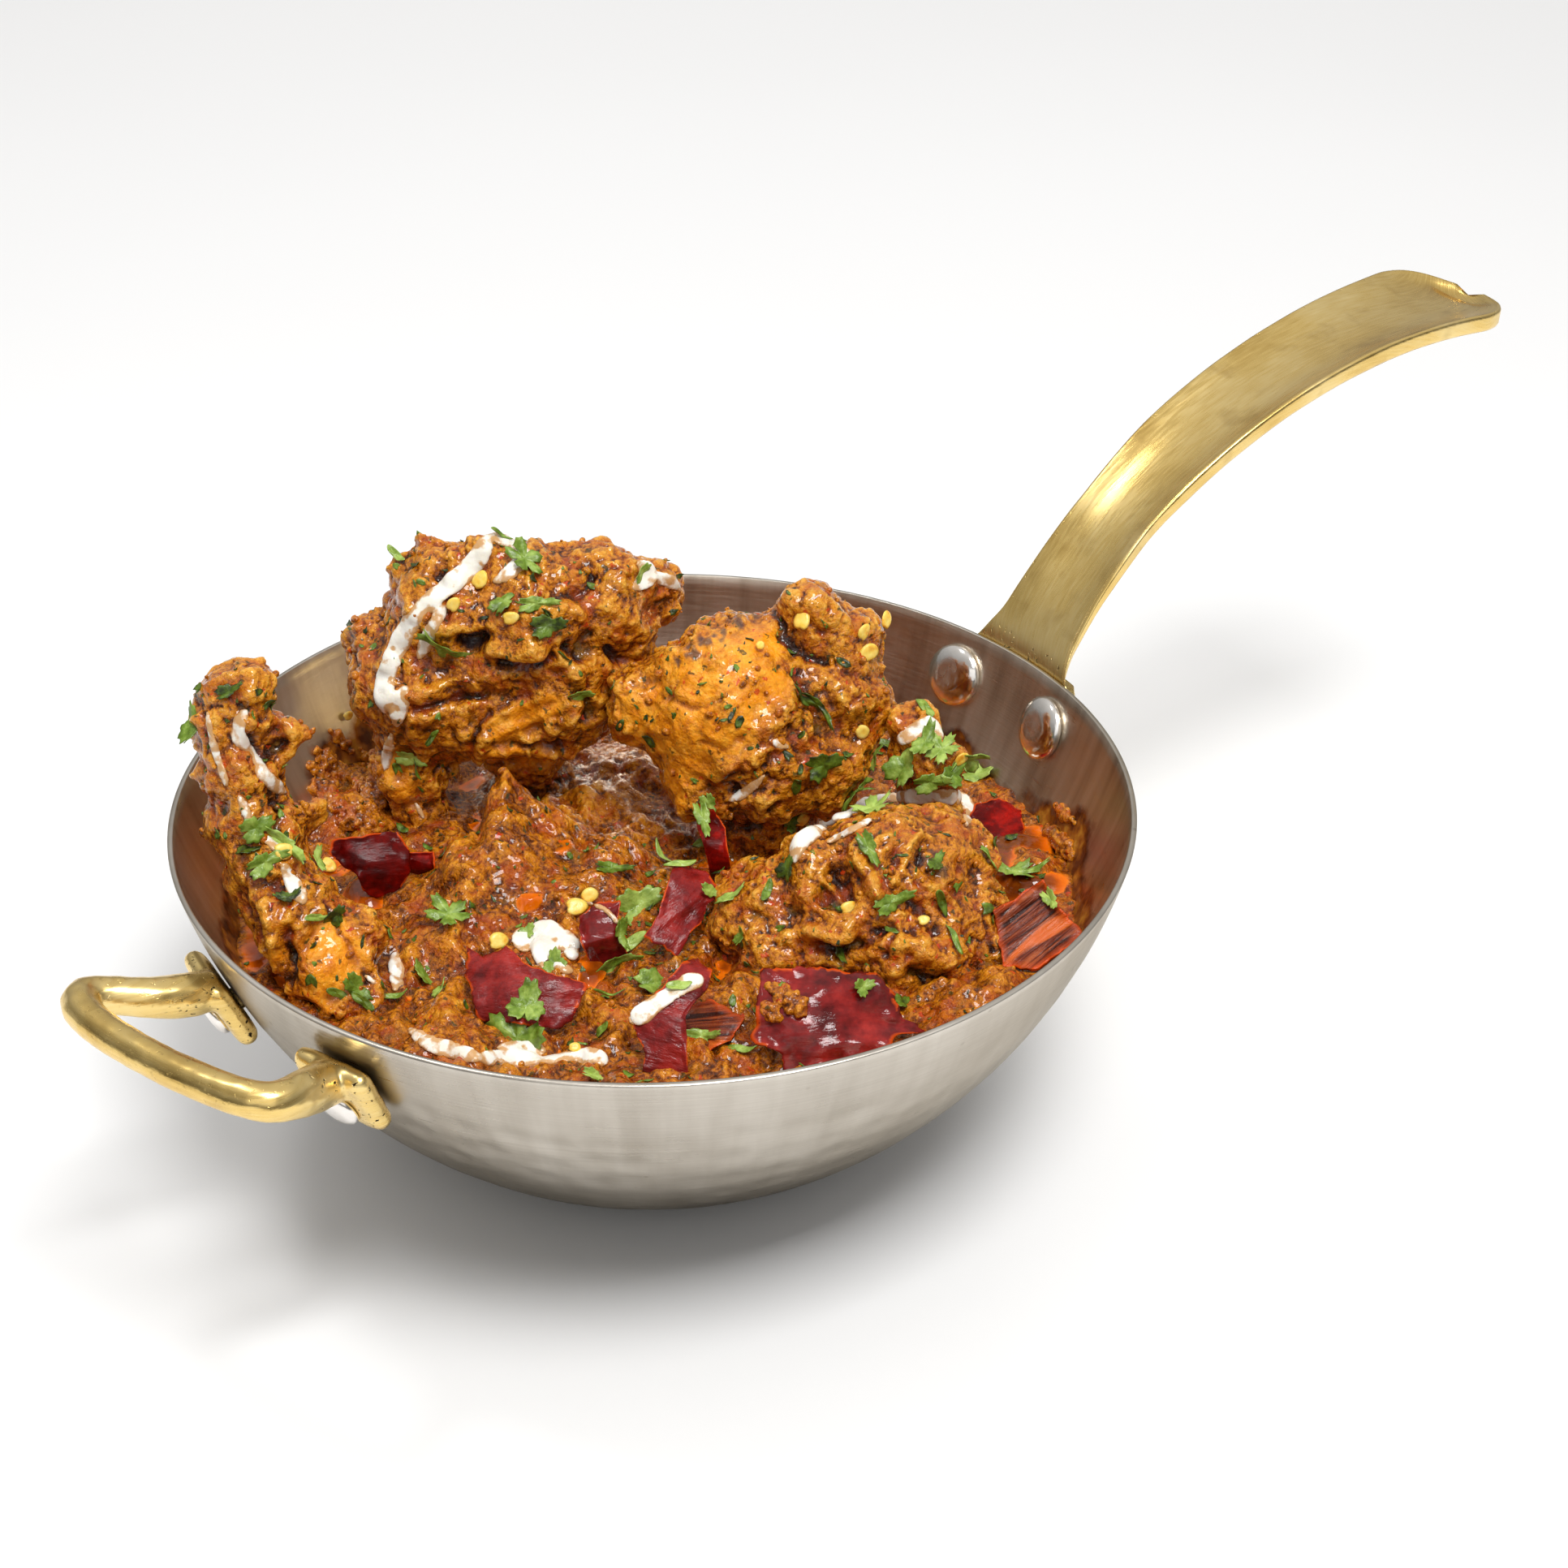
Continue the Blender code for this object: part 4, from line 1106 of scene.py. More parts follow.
CHICKEN_VOXEL = 0.6 * MM
CHICKEN_COAT = (0.6, 0.85, 0.6)  # mm that clumps, grains and small grains stand out
COATING_SHIFT = 1.1  # mm, keeps the coated piece round the solid's surface
CHICKEN = {  # how coarse the coating is, how strongly the meat is folded
    "chicken_left": (1.0, 0.8),
    "chicken_back": (1.0, 1.0),
    "chicken_centre": (1.0, 0.8),
    "chicken_right": (1.0, 1.0),
    "chicken_small": (1.1, 0.8),
}
RIDGES = {  # half width and height in mm, then (across, up) as the diner sees it; furrows are negative
    "chicken_back": (
        (2.4, 2.6, (-33.2, 37.3), (-29.3, 37.1), (-24.2, 37.3)),
        (1.9, 1.2, (-36.6, 31.1), (-32.7, 31.1)),
        (1.7, 1.7, (-49.6, 28.3), (-46.2, 28.9), (-41.7, 31.1), (-37.8, 32.3)),
        (2.6, 1.5, (-46.2, 23.2), (-41.7, 24.4), (-38.3, 25.5)),
        (2.8, 1.8, (-46.8, 17), (-43.4, 18.2)),
        (1.7, 1.9, (-38.3, 13.4), (-33.8, 15.3), (-28.2, 16.5), (-21.4, 15.9)),
        (0.9, 1.1, (-33.8, 18.7), (-27, 22.1), (-19.1, 25.5), (-14.6, 26.6)),
        (0.9, 1.1, (-34.9, 22.1), (-28.2, 25.5), (-21.4, 28.3)),
        (0.8, 0.9, (-27, 18.6), (-20.3, 21.3), (-15.2, 23.4)),
        (1.8, 1.3, (-6.7, 53.7), (-1.1, 56.5), (3.4, 53.1)),
        (2, 1.6, (-19.1, 35.7), (-16.3, 33.4)),
        (1.5, 1.6, (-2.2, 37.9), (-3.6, 36)),
        (1.6, 1.4, (-26, 44.5), (-20.5, 46), (-14.5, 45)),
        (2.2, 1.3, (-9, 47), (-5, 45), (-2, 42)),
        (1.5, -3.4, (-39.4, 39.3), (-37.8, 38.8), (-35.5, 40.2)),
        (1.3, -2.8, (-31.5, 33.8), (-27, 33.3), (-23.6, 34.3), (-20.8, 36.5)),
        (1.2, -2.4, (-18, 38.5), (-15.2, 36.5), (-13.2, 40.7)),
        (1, -1.9, (-49.6, 25.5), (-44.5, 26.3), (-39.4, 27.8), (-34.9, 28.3)),
        (0.9, -1.6, (-37.2, 18.2), (-36.1, 21), (-33.8, 24.4)),
        (0.8, -1.9, (-32.7, 17), (-27, 18), (-19.1, 17.6)),
        (1.3, -2.4, (-13.5, 26.6), (-12.4, 24.4), (-14, 22.1)),
        (1.4, -2.2, (-41.1, 13.1), (-37.2, 10.8), (-32.7, 12.2)),
        (0.9, -1.8, (-9, 37.9), (-7.3, 35.7)),
        (1.2, -1.6, (-51.9, 26.1), (-52.4, 21)),
        (1.3, -1.6, (-44, 53), (-42, 48), (-43, 44)),
        (1.2, -1.3, (-12, 53.5), (-15, 49.5), (-19, 49)),
    ),
    "chicken_centre": (
        (1.1, 0.9, (6.8, 36.8), (11.9, 39.6), (17.5, 43), (24.3, 45.5)),
        (1.4, 1.2, (0, 33.5), (4.5, 37.8)),
        (4, 1.4, (26, 49.2), (32.2, 48.6), (37.9, 44.7), (43.5, 41.9)),
        (1, -1.9, (25.4, 46.4), (28.3, 40.2), (32.2, 37.4), (37, 35)),
        (1.2, -1.5, (31.1, 33.4), (34.5, 23.2), (33.9, 18.7)),
        (1.8, 1.3, (36, 31), (40, 27), (41, 22)),
        (1.1, 1.7, (5.7, 5.2), (5.4, 0.7)),
        (0.9, 1.4, (-2.2, 6.9), (-2.2, 2.9)),
        (1.2, -1.7, (1.7, 7), (1.7, 3)),
        (2.4, 1.3, (15.3, 4), (20.9, 6.9), (24.3, 4)),
        (1.2, -1.7, (16.4, 1.2), (23.2, 0.7), (26, 5.2)),
        (0.8, -0.9, (2, 28), (9, 25.5), (14, 27)),
        (0.9, -0.8, (10, 18), (16, 17), (20, 21)),
        (1.2, 0.9, (8, 13), (13, 11), (17, 14)),
        (1, 0.8, (14, 30), (19, 33), (24, 36)),
    ),
    "chicken_right": (
        (2.2, 1.8, (31.7, -3.3), (30.5, -7.8), (32.2, -12.9)),
        (2.3, 1.8, (32.8, -20.8), (39.6, -22.5), (41.8, -19.6), (46.3, -14)),
        (1.6, -3, (38.4, -8.9), (40.1, -12.3), (40.7, -15.1), (36.2, -14)),
        (1.3, 1.3, (41.8, -3.3), (44.1, -7.8), (46.9, -12.9)),
        (0.9, 1.1, (55.9, -0.5), (53.1, -5.5), (52, -7.8)),
        (1, -1.7, (57.1, -2.7), (55.9, -6.1)),
        (1.4, -2.8, (42.9, -23.9), (39.6, -25.6), (34.5, -24.6)),
        (2.3, 2, (50.9, -23), (55.4, -24.1), (59.9, -28.1), (64.4, -25.3)),
        (1.8, -2.8, (54.8, -30.4), (58.7, -32.4), (62.1, -33)),
        (1, -1.6, (47.5, -20.8), (50.9, -20.4), (48.6, -25.3)),
        (0.8, 0.6, (68.9, -14.6), (70.6, -19.4), (72.9, -24.1)),
        (0.8, -0.5, (67.6, -13.2), (69.2, -18), (71.6, -25)),
        (2.2, 1.5, (20.9, -23), (22.1, -28.7), (20.9, -33.2)),
        (1.6, 1.4, (58, -12), (62, -15), (64.5, -19)),
        (1.2, -1.5, (53, -13.5), (57, -17), (60, -21)),
    ),
    "chicken_left": (
        (1.6, -2.4, (-83.2, 19.3), (-80.4, 15.9), (-77, 18.2)),
        (1.5, 1.5, (-84.9, 22.7), (-82.6, 21), (-79.8, 23.2)),
        (1.2, 1.6, (-75.3, 26.1), (-72.5, 24.9)),
        (2, 1.8, (-72.5, 8), (-68.5, 7.4), (-69.6, 5.7)),
        (1.7, 2, (-80.4, -15.7), (-79.2, -22.5), (-78.7, -30.9)),
        (1.1, -1.8, (-83.2, -16.8), (-82.1, -24.2), (-80.4, -29.8)),
        (1.3, -2, (-75.8, -21.3), (-75.3, -28.1), (-77, -33.8)),
        (4.5, 1.3, (-68, -24.2), (-64.6, -26.4)),
        (1, 1.4, (-65.7, -16.8), (-62.3, -22.5), (-58.9, -28.1), (-57.2, -32.6)),
        (1, -1.4, (-67.8, -15), (-65, -20), (-63, -24.5)),
        (0.8, 0.9, (-73, -34), (-68.5, -36.5), (-64, -38)),
        (1.3, 1.2, (-93, 30), (-88, 32.5), (-83, 33)),
        (1.2, -1.3, (-79, 9), (-77, 4), (-78, -1)),
        (1.4, -1.5, (-84, -8), (-80, -11), (-76, -11)),
    ),
}
SMOOTH_SKIN = {  # (across, up, radius) as the diner sees it, in mm
    "chicken_centre": (
        (-4, 25.5, 4.5), (2, 27, 7.5), (1, 19, 6.5), (0, 12, 5.5), (8, 31, 7.5), (9, 22, 7.5), (15, 36, 7),
        (18, 28, 8), (16, 20, 6), (23, 39, 5), (25, 31, 4.5), (3, 7, 4.5), (8, 14, 5),
    ),
    "chicken_left": ((-66, -25, 7), (-69, -33, 5), (-79, -26, 2.2)),
    "chicken_back": (
        (-52.6, 13, 4), (-50.5, 8, 3), (-31, 21, 3.5), (-26, 23.5, 3.5), (-21, 26, 3), (-33, 14.5, 2.6),
        (-28, 15.5, 2.6), (-23, 15.8, 2.4),
    ),
}
SCORCHED = {
    "chicken_centre": (
        (8, 37.5, 1.6), (11, 39.4, 1.8), (14, 41.2, 1.6), (17.5, 43.2, 1.7), (21, 44.8, 1.4), (5, 35.6, 1),
    ),
    "chicken_right": ((58.8, -5.6, 2.4), (61, -8.5, 1.6)),
    "chicken_back": ((-38, 39.3, 2.2), (-35.2, 40.8, 1.4), (-8.5, 37.5, 1.2)),
}


def make_chicken(name, coarse, folded):
    """The solid's form with its ridges, furrows and folds, coated with clumps and grains of masala."""
    piece = remesh(node_copy(name, MASALA), CHICKEN_VOXEL, 10)
    points = coordinates(piece.data)
    place = in_serving(points)
    seed = 10 * list(CHICKEN).index(name) + 40
    view = in_view(points) + 0.7 * drift(place, 4 * MM, seed, 2)
    shown = smooth_step(-0.05, 0.3, facing_eye(points, normals(piece.data)))
    skin = patches(view, SMOOTH_SKIN.get(name, ())) * shown
    skin *= 0.45 + 0.55 * smooth_step(-0.6, -0.05, noise(place, 6 * MM, seed + 9))
    sculpted = 0.95 * relief(view, RIDGES.get(name, ())) * shown
    warped = place + 3 * MM * drift(place, 14 * MM, seed + 2)
    crumbled = place + 0.7 * MM * drift(place, 1.8 * MM, seed + 13)
    folds = 1 - 2.4 * np.abs(noise(warped * [0.6, 1, 1.5], 13 * MM, seed + 5))
    swell = 1.5 * folded * folds * (1 - 0.6 * shown) + 0.9 * rough_noise(warped, 8 * MM, seed + 6)
    large = clumps(warped, 5.5 * MM, seed + 7)
    middle = grains(crumbled, 2.7 * MM, seed + 8)
    small = grains(crumbled, 1.5 * MM, seed + 9) * smooth_step(-0.5, 0.2, noise(place, 4 * MM, seed + 12))
    patch = smooth_step(-0.6, 0.3, noise(place, 9 * MM, seed + 10))
    grit = coarse * (0.35 + 0.65 * patch) * (1 - 0.92 * skin)
    height = (swell + sculpted) * (1 - 0.35 * skin) + grit * layered(CHICKEN_COAT, large, middle, small)
    height += 0.35 * skin * rough_noise(warped * [1.3, 0.7, 1], 4 * MM, seed + 11)
    push_out(piece.data, (height - COATING_SHIFT) * MM)
    outward = normals(piece.data)
    over = in_serving(coordinates(piece.data))[:, 2] - GRAVY_LEVEL
    # Painted shade and light for the relief mark: darker in small and wide hollows, in furrows, near the
    # gravy and on faces turned down, lighter on crests; the dark hollows also stand for oily sauce.
    tone = 0.55 - np.clip(hollows(piece.data, 5), -0.25, 0.45)
    tone -= 0.30 * np.clip(hollows(piece.data, 40), -0.9, 2.0) + 0.13 * np.clip(-sculpted, 0, 2)
    tone -= 0.14 * (1 - smooth_step(1 * MM, 9 * MM, over)) + 0.16 * smooth_step(0.05, 0.75, -outward[:, 2])
    mark(piece.data, "relief", np.clip(tone, 0, 1))
    mark(piece.data, "skin", skin)
    scorched = patches(view, SCORCHED.get(name, ())) * shown
    mark(piece.data, "char", 0.8 * scorched * smooth_step(-0.4, 0.2, noise(place, 2 * MM, seed + 12)))
    return dress(piece, "chicken", name)


# ---- gravy

GRAVY_LEVEL = -27 * MM  # in the serving frame
MOUNDS = (  # x, y, height, spread in mm, serving frame
    (-31, 20, 14, 6), (-34, 8, 9, 8), (-42, -4, 7, 9), (-18, 12, 5, 10), (-24, -10, 3, 12),
    (-66, 42, 5, 10), (84, 6, 8, 5), (66, -46, 6, 12), (-44, -54, 6, 10), (10, -34, 5, 12), (-8, 4, 4, 10),
    (0, -70, 4, 14), (-6, 46, 4, 11),
)
GRAVY_RIDGES = (  # half width and height in mm, then (across, up) as the diner sees it
    (2.6, 2, (-31, 9.7), (-32.7, 4.6), (-33.2, -0.5), (-32.1, -5)),
    (2.8, 2, (-39.5, -1.6), (-41.1, -4.4), (-38.9, -8.4)),
    (1.5, 1.4, (-25.9, -8.9), (-28.7, -10)),
    (2.6, 2.4, (-43.4, -36.6), (-41, -33.5)),
    (2.2, 1.6, (-22, 6), (-18, 1), (-14, 5.5)),
    (2, 1.4, (-3, 1), (-6, -4)),
    (2.4, -3, (11.9, -17.4), (15.3, -21.9), (12.5, -28.7)),
    (2, -2, (-5.6, -24.7), (-9.5, -20.8)),
    (1.6, -1.8, (-36, -1), (-36.5, 4)),
    (2, -1.8, (-47, -14), (-44, -10.5)),
    (2.2, 1.8, (18, -33), (21, -38), (25, -44)),
    (2, 1.6, (-12, -38), (-6, -42), (-12, -46)),
    (2.6, 2, (62, -35), (68, -33), (74, -31.5)),
    (2, 1.6, (-50, -25), (-46, -23)),
    (2.4, 1.8, (-66, 4), (-62, 7), (-60, 3)),
)
POOLS = (  # (across, up) as the diner sees it, radius across, radius up, level in mm over the gravy
    (-19.1, -2.6, 4, 2.4, 9.2),
    (-25.3, -12.9, 3.8, 2.6, 6.4),
    (-31, -10.6, 2.6, 1.4, 1),
    (-44, -10, 3.2, 2, 0.8),
    (-12.9, -27, 3.4, 5, 1.2),
    (10, -21, 3.4, 3.4, -0.6),
    (79, -7, 13, 6.5, 3.4),
    (74, -29.5, 4.5, 2.2, 0.8),
    (-61, 9, 8, 5, 1.2),
    (-60, -12, 4, 3, 0.6),
    (-84, -24, 5, 6, 0.8),
    (14, -50, 5, 3, 0.6),
)
BRIGHT_OIL = ((-19.1, -2.6, 3.6), (-25.3, -12.9, 3.4), (-31, -10.6, 2.2))  # (across, up, radius): a thin film
HEAPED_PAINTED_LIGHTER = ((-7.5, 11, 10),)  # where the gravy stands above its oil, and is painted lighter against the shade in that pocket
GRAVY_COAT = (1.6, 1.3, 0.5)  # mm that clumps, grains and small grains stand out
GRAVY_SHIFT = 2.2  # mm, keeps the rough surface round its resting level
OIL_LEVEL = -1.9  # mm over the resting level
DEEPEST_OIL = 3.0  # mm, where the oil's colour is darkest
BRIGHT_DEPTH = 0.22  # depth of the thin film, as a share of the pool's
DARKEST_TONE = 0.36
GRAVY_RINGS = 104
GRAVY_STEPS = 620
EDGE_OVERLAP = 0.3 * MM  # that the gravy's edge reaches into the wall
CONTACT_REACH = 6 * MM  # how far from a piece of food the gravy is shaded


def gravy_surface(place):
    """(height in metres over the resting level, depth of oil in mm, tone) at places in the serving frame."""
    x, y = place[:, 0] / MM, place[:, 1] / MM
    height = np.zeros(len(place))
    for at_x, at_y, mound, spread in MOUNDS:
        height += mound * np.exp(-((x - at_x) ** 2 + (y - at_y) ** 2) / (2 * spread * spread))
    flat = np.stack([place[:, 0], place[:, 1], height * MM], axis=-1)
    view = in_view(in_object(flat + [0, 0, GRAVY_LEVEL]))
    sculpted = 1.3 * relief(view + 0.8 * noise(flat, 4 * MM, 36)[:, None], GRAVY_RIDGES)
    warped = flat + 3 * MM * drift(flat, 11 * MM, 38)
    crumbled = flat + 0.8 * MM * drift(flat, 2 * MM, 44)
    lumps = rough_noise(warped, 11 * MM, 31)
    large = clumps(warped, 6 * MM, 33)
    middle = grains(crumbled, 3.2 * MM, 34)
    small = grains(crumbled, 1.7 * MM, 35) * smooth_step(-0.4, 0.2, noise(flat, 4 * MM, 43))
    grit = 0.4 + 0.6 * smooth_step(-0.6, 0.3, noise(flat, 10 * MM, 37))
    coat = grit * layered(GRAVY_COAT, large, middle, small)
    masala = height + sculpted + 2.1 * lumps + coat - GRAVY_SHIFT
    oil_level = OIL_LEVEL + 0.5 * noise(flat, 20 * MM, 32)
    for across, up, wide, high, level in POOLS:
        away = np.hypot((view[:, 0] - across) / wide, (view[:, 1] - up) / high)
        share = 1 - smooth_step(0.6, 1.3, away)
        oil_level = np.maximum(oil_level, oil_level + (level - oil_level) * share)
    # Painted light: where the gravy is heaped its tone is lifted against the shade of its pocket, and its oil
    # is taken away.
    heaped_painted_lighter = patches(view, HEAPED_PAINTED_LIGHTER)
    depth = np.clip(oil_level - masala, 0, None) * (1 - 0.9 * heaped_painted_lighter)
    thin = BRIGHT_DEPTH * np.minimum(depth, DEEPEST_OIL)
    depth = np.where(patches(view, BRIGHT_OIL) > 0.5, thin, depth)
    # Painted shade and light: the tone is lighter on ridges, lumps and grains and darker in the hollows
    # between them.
    tone = 0.43 + 0.10 * heaped_painted_lighter + 0.06 * lumps + 0.10 * np.clip(sculpted, -2.5, 1.5)
    tone += grit * (0.22 * (large - 0.6) + 0.30 * (middle - 0.6) + 0.22 * (small - 0.3))
    return np.maximum(masala, oil_level) * MM, depth, np.clip(tone, 0, 1)


def ring_points(radius, angles, height):
    return np.stack(np.broadcast_arrays(radius * np.cos(angles), radius * np.sin(angles), height), axis=-1)


def make_gravy(food):
    """A fine surface from the middle to the wall, with a closed underside that follows the bowl."""
    turns = np.linspace(0, 2 * math.pi, GRAVY_STEPS, endpoint=False)
    shares = (np.arange(1, GRAVY_RINGS + 1) / GRAVY_RINGS) ** 0.92
    shore = ring_points(95 * MM, turns, 0)
    climb = np.clip(1.2 + 2.2 * noise(shore, 16 * MM, 41) + 1.2 * noise(shore, 4 * MM, 42), -1.0, 4.5) * MM
    edge_height = RIM_HEIGHT + GRAVY_LEVEL + climb
    edge = wall_radius(edge_height, WALL) + EDGE_OVERLAP
    place = ring_points(shares[:, None] * edge[None, :], turns, 0).reshape(-1, 3)
    height, depth, tone = gravy_surface(place)
    blend = smooth_step(0.90, 1.0, np.repeat(shares, GRAVY_STEPS))
    height = height * (1 - blend) + np.tile(climb, GRAVY_RINGS) * blend
    place[:, 2] = GRAVY_LEVEL + height
    middle, _, _ = gravy_surface(np.zeros((1, 3)))
    top = in_object(place)
    tree = surface_tree(food)
    far = 2 * CONTACT_REACH
    gap = np.array([tree.find_nearest(Vector(point), far)[3] or far for point in top])
    # Painted shade on the gravy next to the food.
    tone -= 0.12 * (1 - smooth_step(0.5 * MM, CONTACT_REACH, gap))
    rim_angles = np.arctan2(top[-GRAVY_STEPS:, 1], top[-GRAVY_STEPS:, 0])
    under = []
    for share in (0.75, 0.5, 0.25):
        low = WALL + GAP + (edge_height - WALL - GAP) * share
        under.append(ring_points(wall_radius(low, WALL + GAP), rim_angles, low))
    first = [(0, 0, RIM_HEIGHT + GRAVY_LEVEL + middle[0])]
    points = np.concatenate([first, top, *under, [(0, 0, WALL + GAP)]])
    faces = capped(GRAVY_RINGS + len(under), GRAVY_STEPS)
    gravy = mesh_object("gravy_dressed", points, faces, GRAVY)
    face_outward(gravy)
    rest = len(points) - 1 - len(top)
    oil = np.clip(depth / DEEPEST_OIL, 0, 1) * (1 - blend)
    tone = np.clip(tone, DARKEST_TONE, 1)
    mark(gravy.data, "oil", np.concatenate([[0], oil, np.zeros(rest)]))
    mark(gravy.data, "relief", np.concatenate([[0.4], tone, np.full(rest, DARKEST_TONE)]))
    return dress(gravy, "masala", "gravy")


# ---- dried chilli

CHILLIES = {  # centre (mm, serving frame), turn (degrees), roll radius (mm), outline as the diner sees it
    "chilli_left": (
        (-60, 6, -19), (58, 0, 6), 13,
        ((-66.7, -1.9), (-57.2, -0.5), (-53, -0.2), (-50.3, -5.3), (-50.8, -9.7), (-54, -12.7),
         (-57.7, -14.2), (-60.4, -12.1), (-61.4, -9.3), (-64.8, -7.2), (-67.2, -4.4)),
    ),
    "chilli_left_small": (
        (-51, 13, -22), (50, 0, -20), 9,
        ((-51, -4.6), (-45.4, -4.4), (-45.2, -8), (-48.5, -9), (-51, -8.4)),
    ),
    "chilli_front": (
        (-27, -37, -19), (24, -6, -8), 22,
        ((-38.7, -24), (-35.4, -26.4), (-30.4, -24), (-26.7, -27.5), (-21.5, -29.6), (-14, -32),
         (-15.2, -36.9), (-19.3, -41.6), (-27.6, -40.3), (-36.3, -39.2), (-38.9, -30.2)),
    ),
    "chilli_upright": (
        (-12, -23, -20), (70, 0, 10), 12,
        ((-14.9, -17.9), (-11, -14.6), (-6.5, -14.9), (-7.2, -20), (-4.5, -27), (-8, -31), (-12.7, -28),
         (-14.9, -23)),
    ),
    "chilli_middle": (
        (6.5, -15, -17), (38, -14, 48), 24,
        ((4.9, -6.6), (11, -8.3), (14.9, -13.4), (11.7, -15.1), (10.2, -19.5), (7.8, -21.4), (5.1, -26.5),
         (2.5, -24.2), (-1.7, -22.2), (1.4, -17.4), (3.2, -11.6)),
    ),
    "chilli_narrow": (
        (13, -4, -16), (72, 0, -8), 4,
        ((9.5, 5.5), (13, 4.4), (15.3, 0.5), (16.2, -6), (16.6, -10), (14.9, -13.6), (12.6, -10.6),
         (11.2, -4), (9.4, 1)),
    ),
    "chilli_folded": (
        (2, -56, -18), (32, 12, -14), 15,
        ((9.6, -26.6), (12.4, -29.6), (11.7, -32.7), (9.1, -35.5), (7, -38.8), (7.2, -44.5), (7.6, -52),
         (2.5, -51.6), (-1.9, -50.3), (-1.3, -46.4), (-4.1, -40.7), (-3.1, -37.9), (2.5, -31.8), (6.3, -28)),
    ),
    "chilli_striped": (
        (13, -57, -22), (30, -20, -24), 14,
        ((6.5, -37.5), (11.9, -34.9), (19.3, -39.3), (16.6, -43.5), (12.8, -45.4), (10.4, -50.1),
         (7, -53.2), (5, -46)),
    ),
    "chilli_glossy": (
        (31, -56, -18), (38, 4, 4), 20,
        ((23, -29), (30, -28.5), (41.3, -29.2), (47.1, -29.8), (50.8, -34.9), (52.8, -39.2), (57.5, -42),
         (51.6, -42.4), (49.4, -45.2), (42.4, -48), (28.3, -50.8), (27, -46.4), (20.6, -43.8), (22, -37.7)),
    ),
    "chilli_right": (
        (76, -22, -21), (16, -22, 30), -16,
        ((71, -16.5), (76.2, -14), (81.6, -10.4), (84.7, -15.1), (89.8, -21), (88.7, -23.9), (83.6, -26.4),
         (80.8, -29), (73.4, -28.4), (72.2, -22.5)),
    ),
    "chilli_oil": (
        (73, 33, -24), (8, -12, 40), 24,
        ((65.5, 0.5), (67.5, 5.5), (72.5, 7), (77, 4), (78, -1), (70, -2.6)),
    ),
}
STRIPED = ("chilli_striped", "chilli_right")
SOAKED = ("chilli_left", "chilli_left_small", "chilli_narrow", "chilli_oil")
OILED = ("chilli_glossy", "chilli_upright")
CHILLI_RINGS = 22
CHILLI_STEPS = 120
CHILLI_THICKNESS = 0.55 * MM
BOWED = 0.012  # 1/mm, how much a skin bends along its length


def torn_outline(outline, seed):
    """A polygon's border at even steps, drawn in and out where it is torn, and its middle."""
    posts = np.array([*outline, outline[0]])
    travel = np.concatenate([[0], np.cumsum(np.hypot(*np.diff(posts, axis=0).T))])
    at = np.linspace(0, travel[-1], CHILLI_STEPS, endpoint=False)
    border = np.stack([np.interp(at, travel, posts[:, axis]) for axis in (0, 1)], axis=-1)
    middle = border.mean(axis=0)
    key = np.column_stack([border, np.full(len(border), 9.0 * seed)])
    tear = 1 + 0.06 * noise(key, 4.5, seed) + 0.05 * noise(key, 1.5, seed + 1)
    return middle + (border - middle) * tear[:, None], middle


def make_chilli(name, centre, turn, roll, outline):
    """A torn piece of chilli skin: its outline as the diner sees it, on a tilted plane, rolled up."""
    spin = Euler([math.radians(degrees) for degrees in turn]).to_matrix().to_4x4()
    plane = SERVING @ Matrix.Translation(Vector(centre) * MM) @ spin
    axes = np.array(plane.to_3x3())
    origin = np.array(plane.translation)
    eye = np.array(EYE_PLACE)
    seed = list(CHILLIES).index(name) * 7 + 1
    border, middle = torn_outline(outline, seed)
    rings = np.arange(1, CHILLI_RINGS + 1) / CHILLI_RINGS
    view = middle + rings[:, None, None] * (border - middle)
    view = np.concatenate([[middle], view.reshape(-1, 2)])
    share = np.concatenate([[0], np.repeat(rings, CHILLI_STEPS)])
    shown = np.array(VIEW_CENTRE) + MM * (view[:, :1] * np.array(EYE_RIGHT) + view[:, 1:] * np.array(EYE_UP))
    rays = unit(shown - eye)
    slope = rays @ axes[:, 2]
    flat = eye + rays * (((origin - eye) @ axes[:, 2]) / slope)[:, None]
    local = (flat - origin) @ axes / MM
    local -= local[0]
    key = local + [0, 0, 5.0 * seed]
    wrinkle = 0.9 * noise(key, 9, seed + 3) + 0.28 * noise(key * [0.6, 1.3, 1], 3.2, seed + 4)
    crease = 0.7 * (1 - 3 * np.abs(noise(key * [0.45, 1.1, 1], 10, seed + 6)))
    lifted = 1.6 * smooth_step(0.6, 1.0, share) * noise(key, 5, seed + 5)
    sunk = local[:, 1] ** 2 / (2 * roll) + BOWED * local[:, 0] ** 2 * math.copysign(1, roll)
    away = (sunk - wrinkle - crease - lifted) / np.clip(np.abs(slope), 0.5, 1)
    points = flat + rays * (away * MM)[:, None]
    faces = [*flipped(grid_faces(CHILLI_RINGS, CHILLI_STEPS, 1)), *fan(0, 1, CHILLI_STEPS)]
    x, y = border.T
    if (x * np.roll(y, -1) - y * np.roll(x, -1)).sum() < 0:
        faces = flipped(faces)
    look = "soaked" if name in SOAKED else "oiled" if name in OILED else "dry"
    skin = mesh_object(name + "_dressed", points, faces, CHILLI_LOOKS[look])
    mark(skin.data, "edge", share)
    set_surface_places(skin.data, (local[:, :2] * MM)[corners(skin.data)])
    shell = skin.modifiers.new("shell", "SOLIDIFY")
    shell.thickness = CHILLI_THICKNESS
    shell.offset = 0.0
    freeze(skin)
    upper = np.arange(len(skin.data.vertices)) < len(points)
    mark(skin.data, "inside", upper if name in STRIPED else ~upper)
    return dress(skin, "dried_chilli", name)


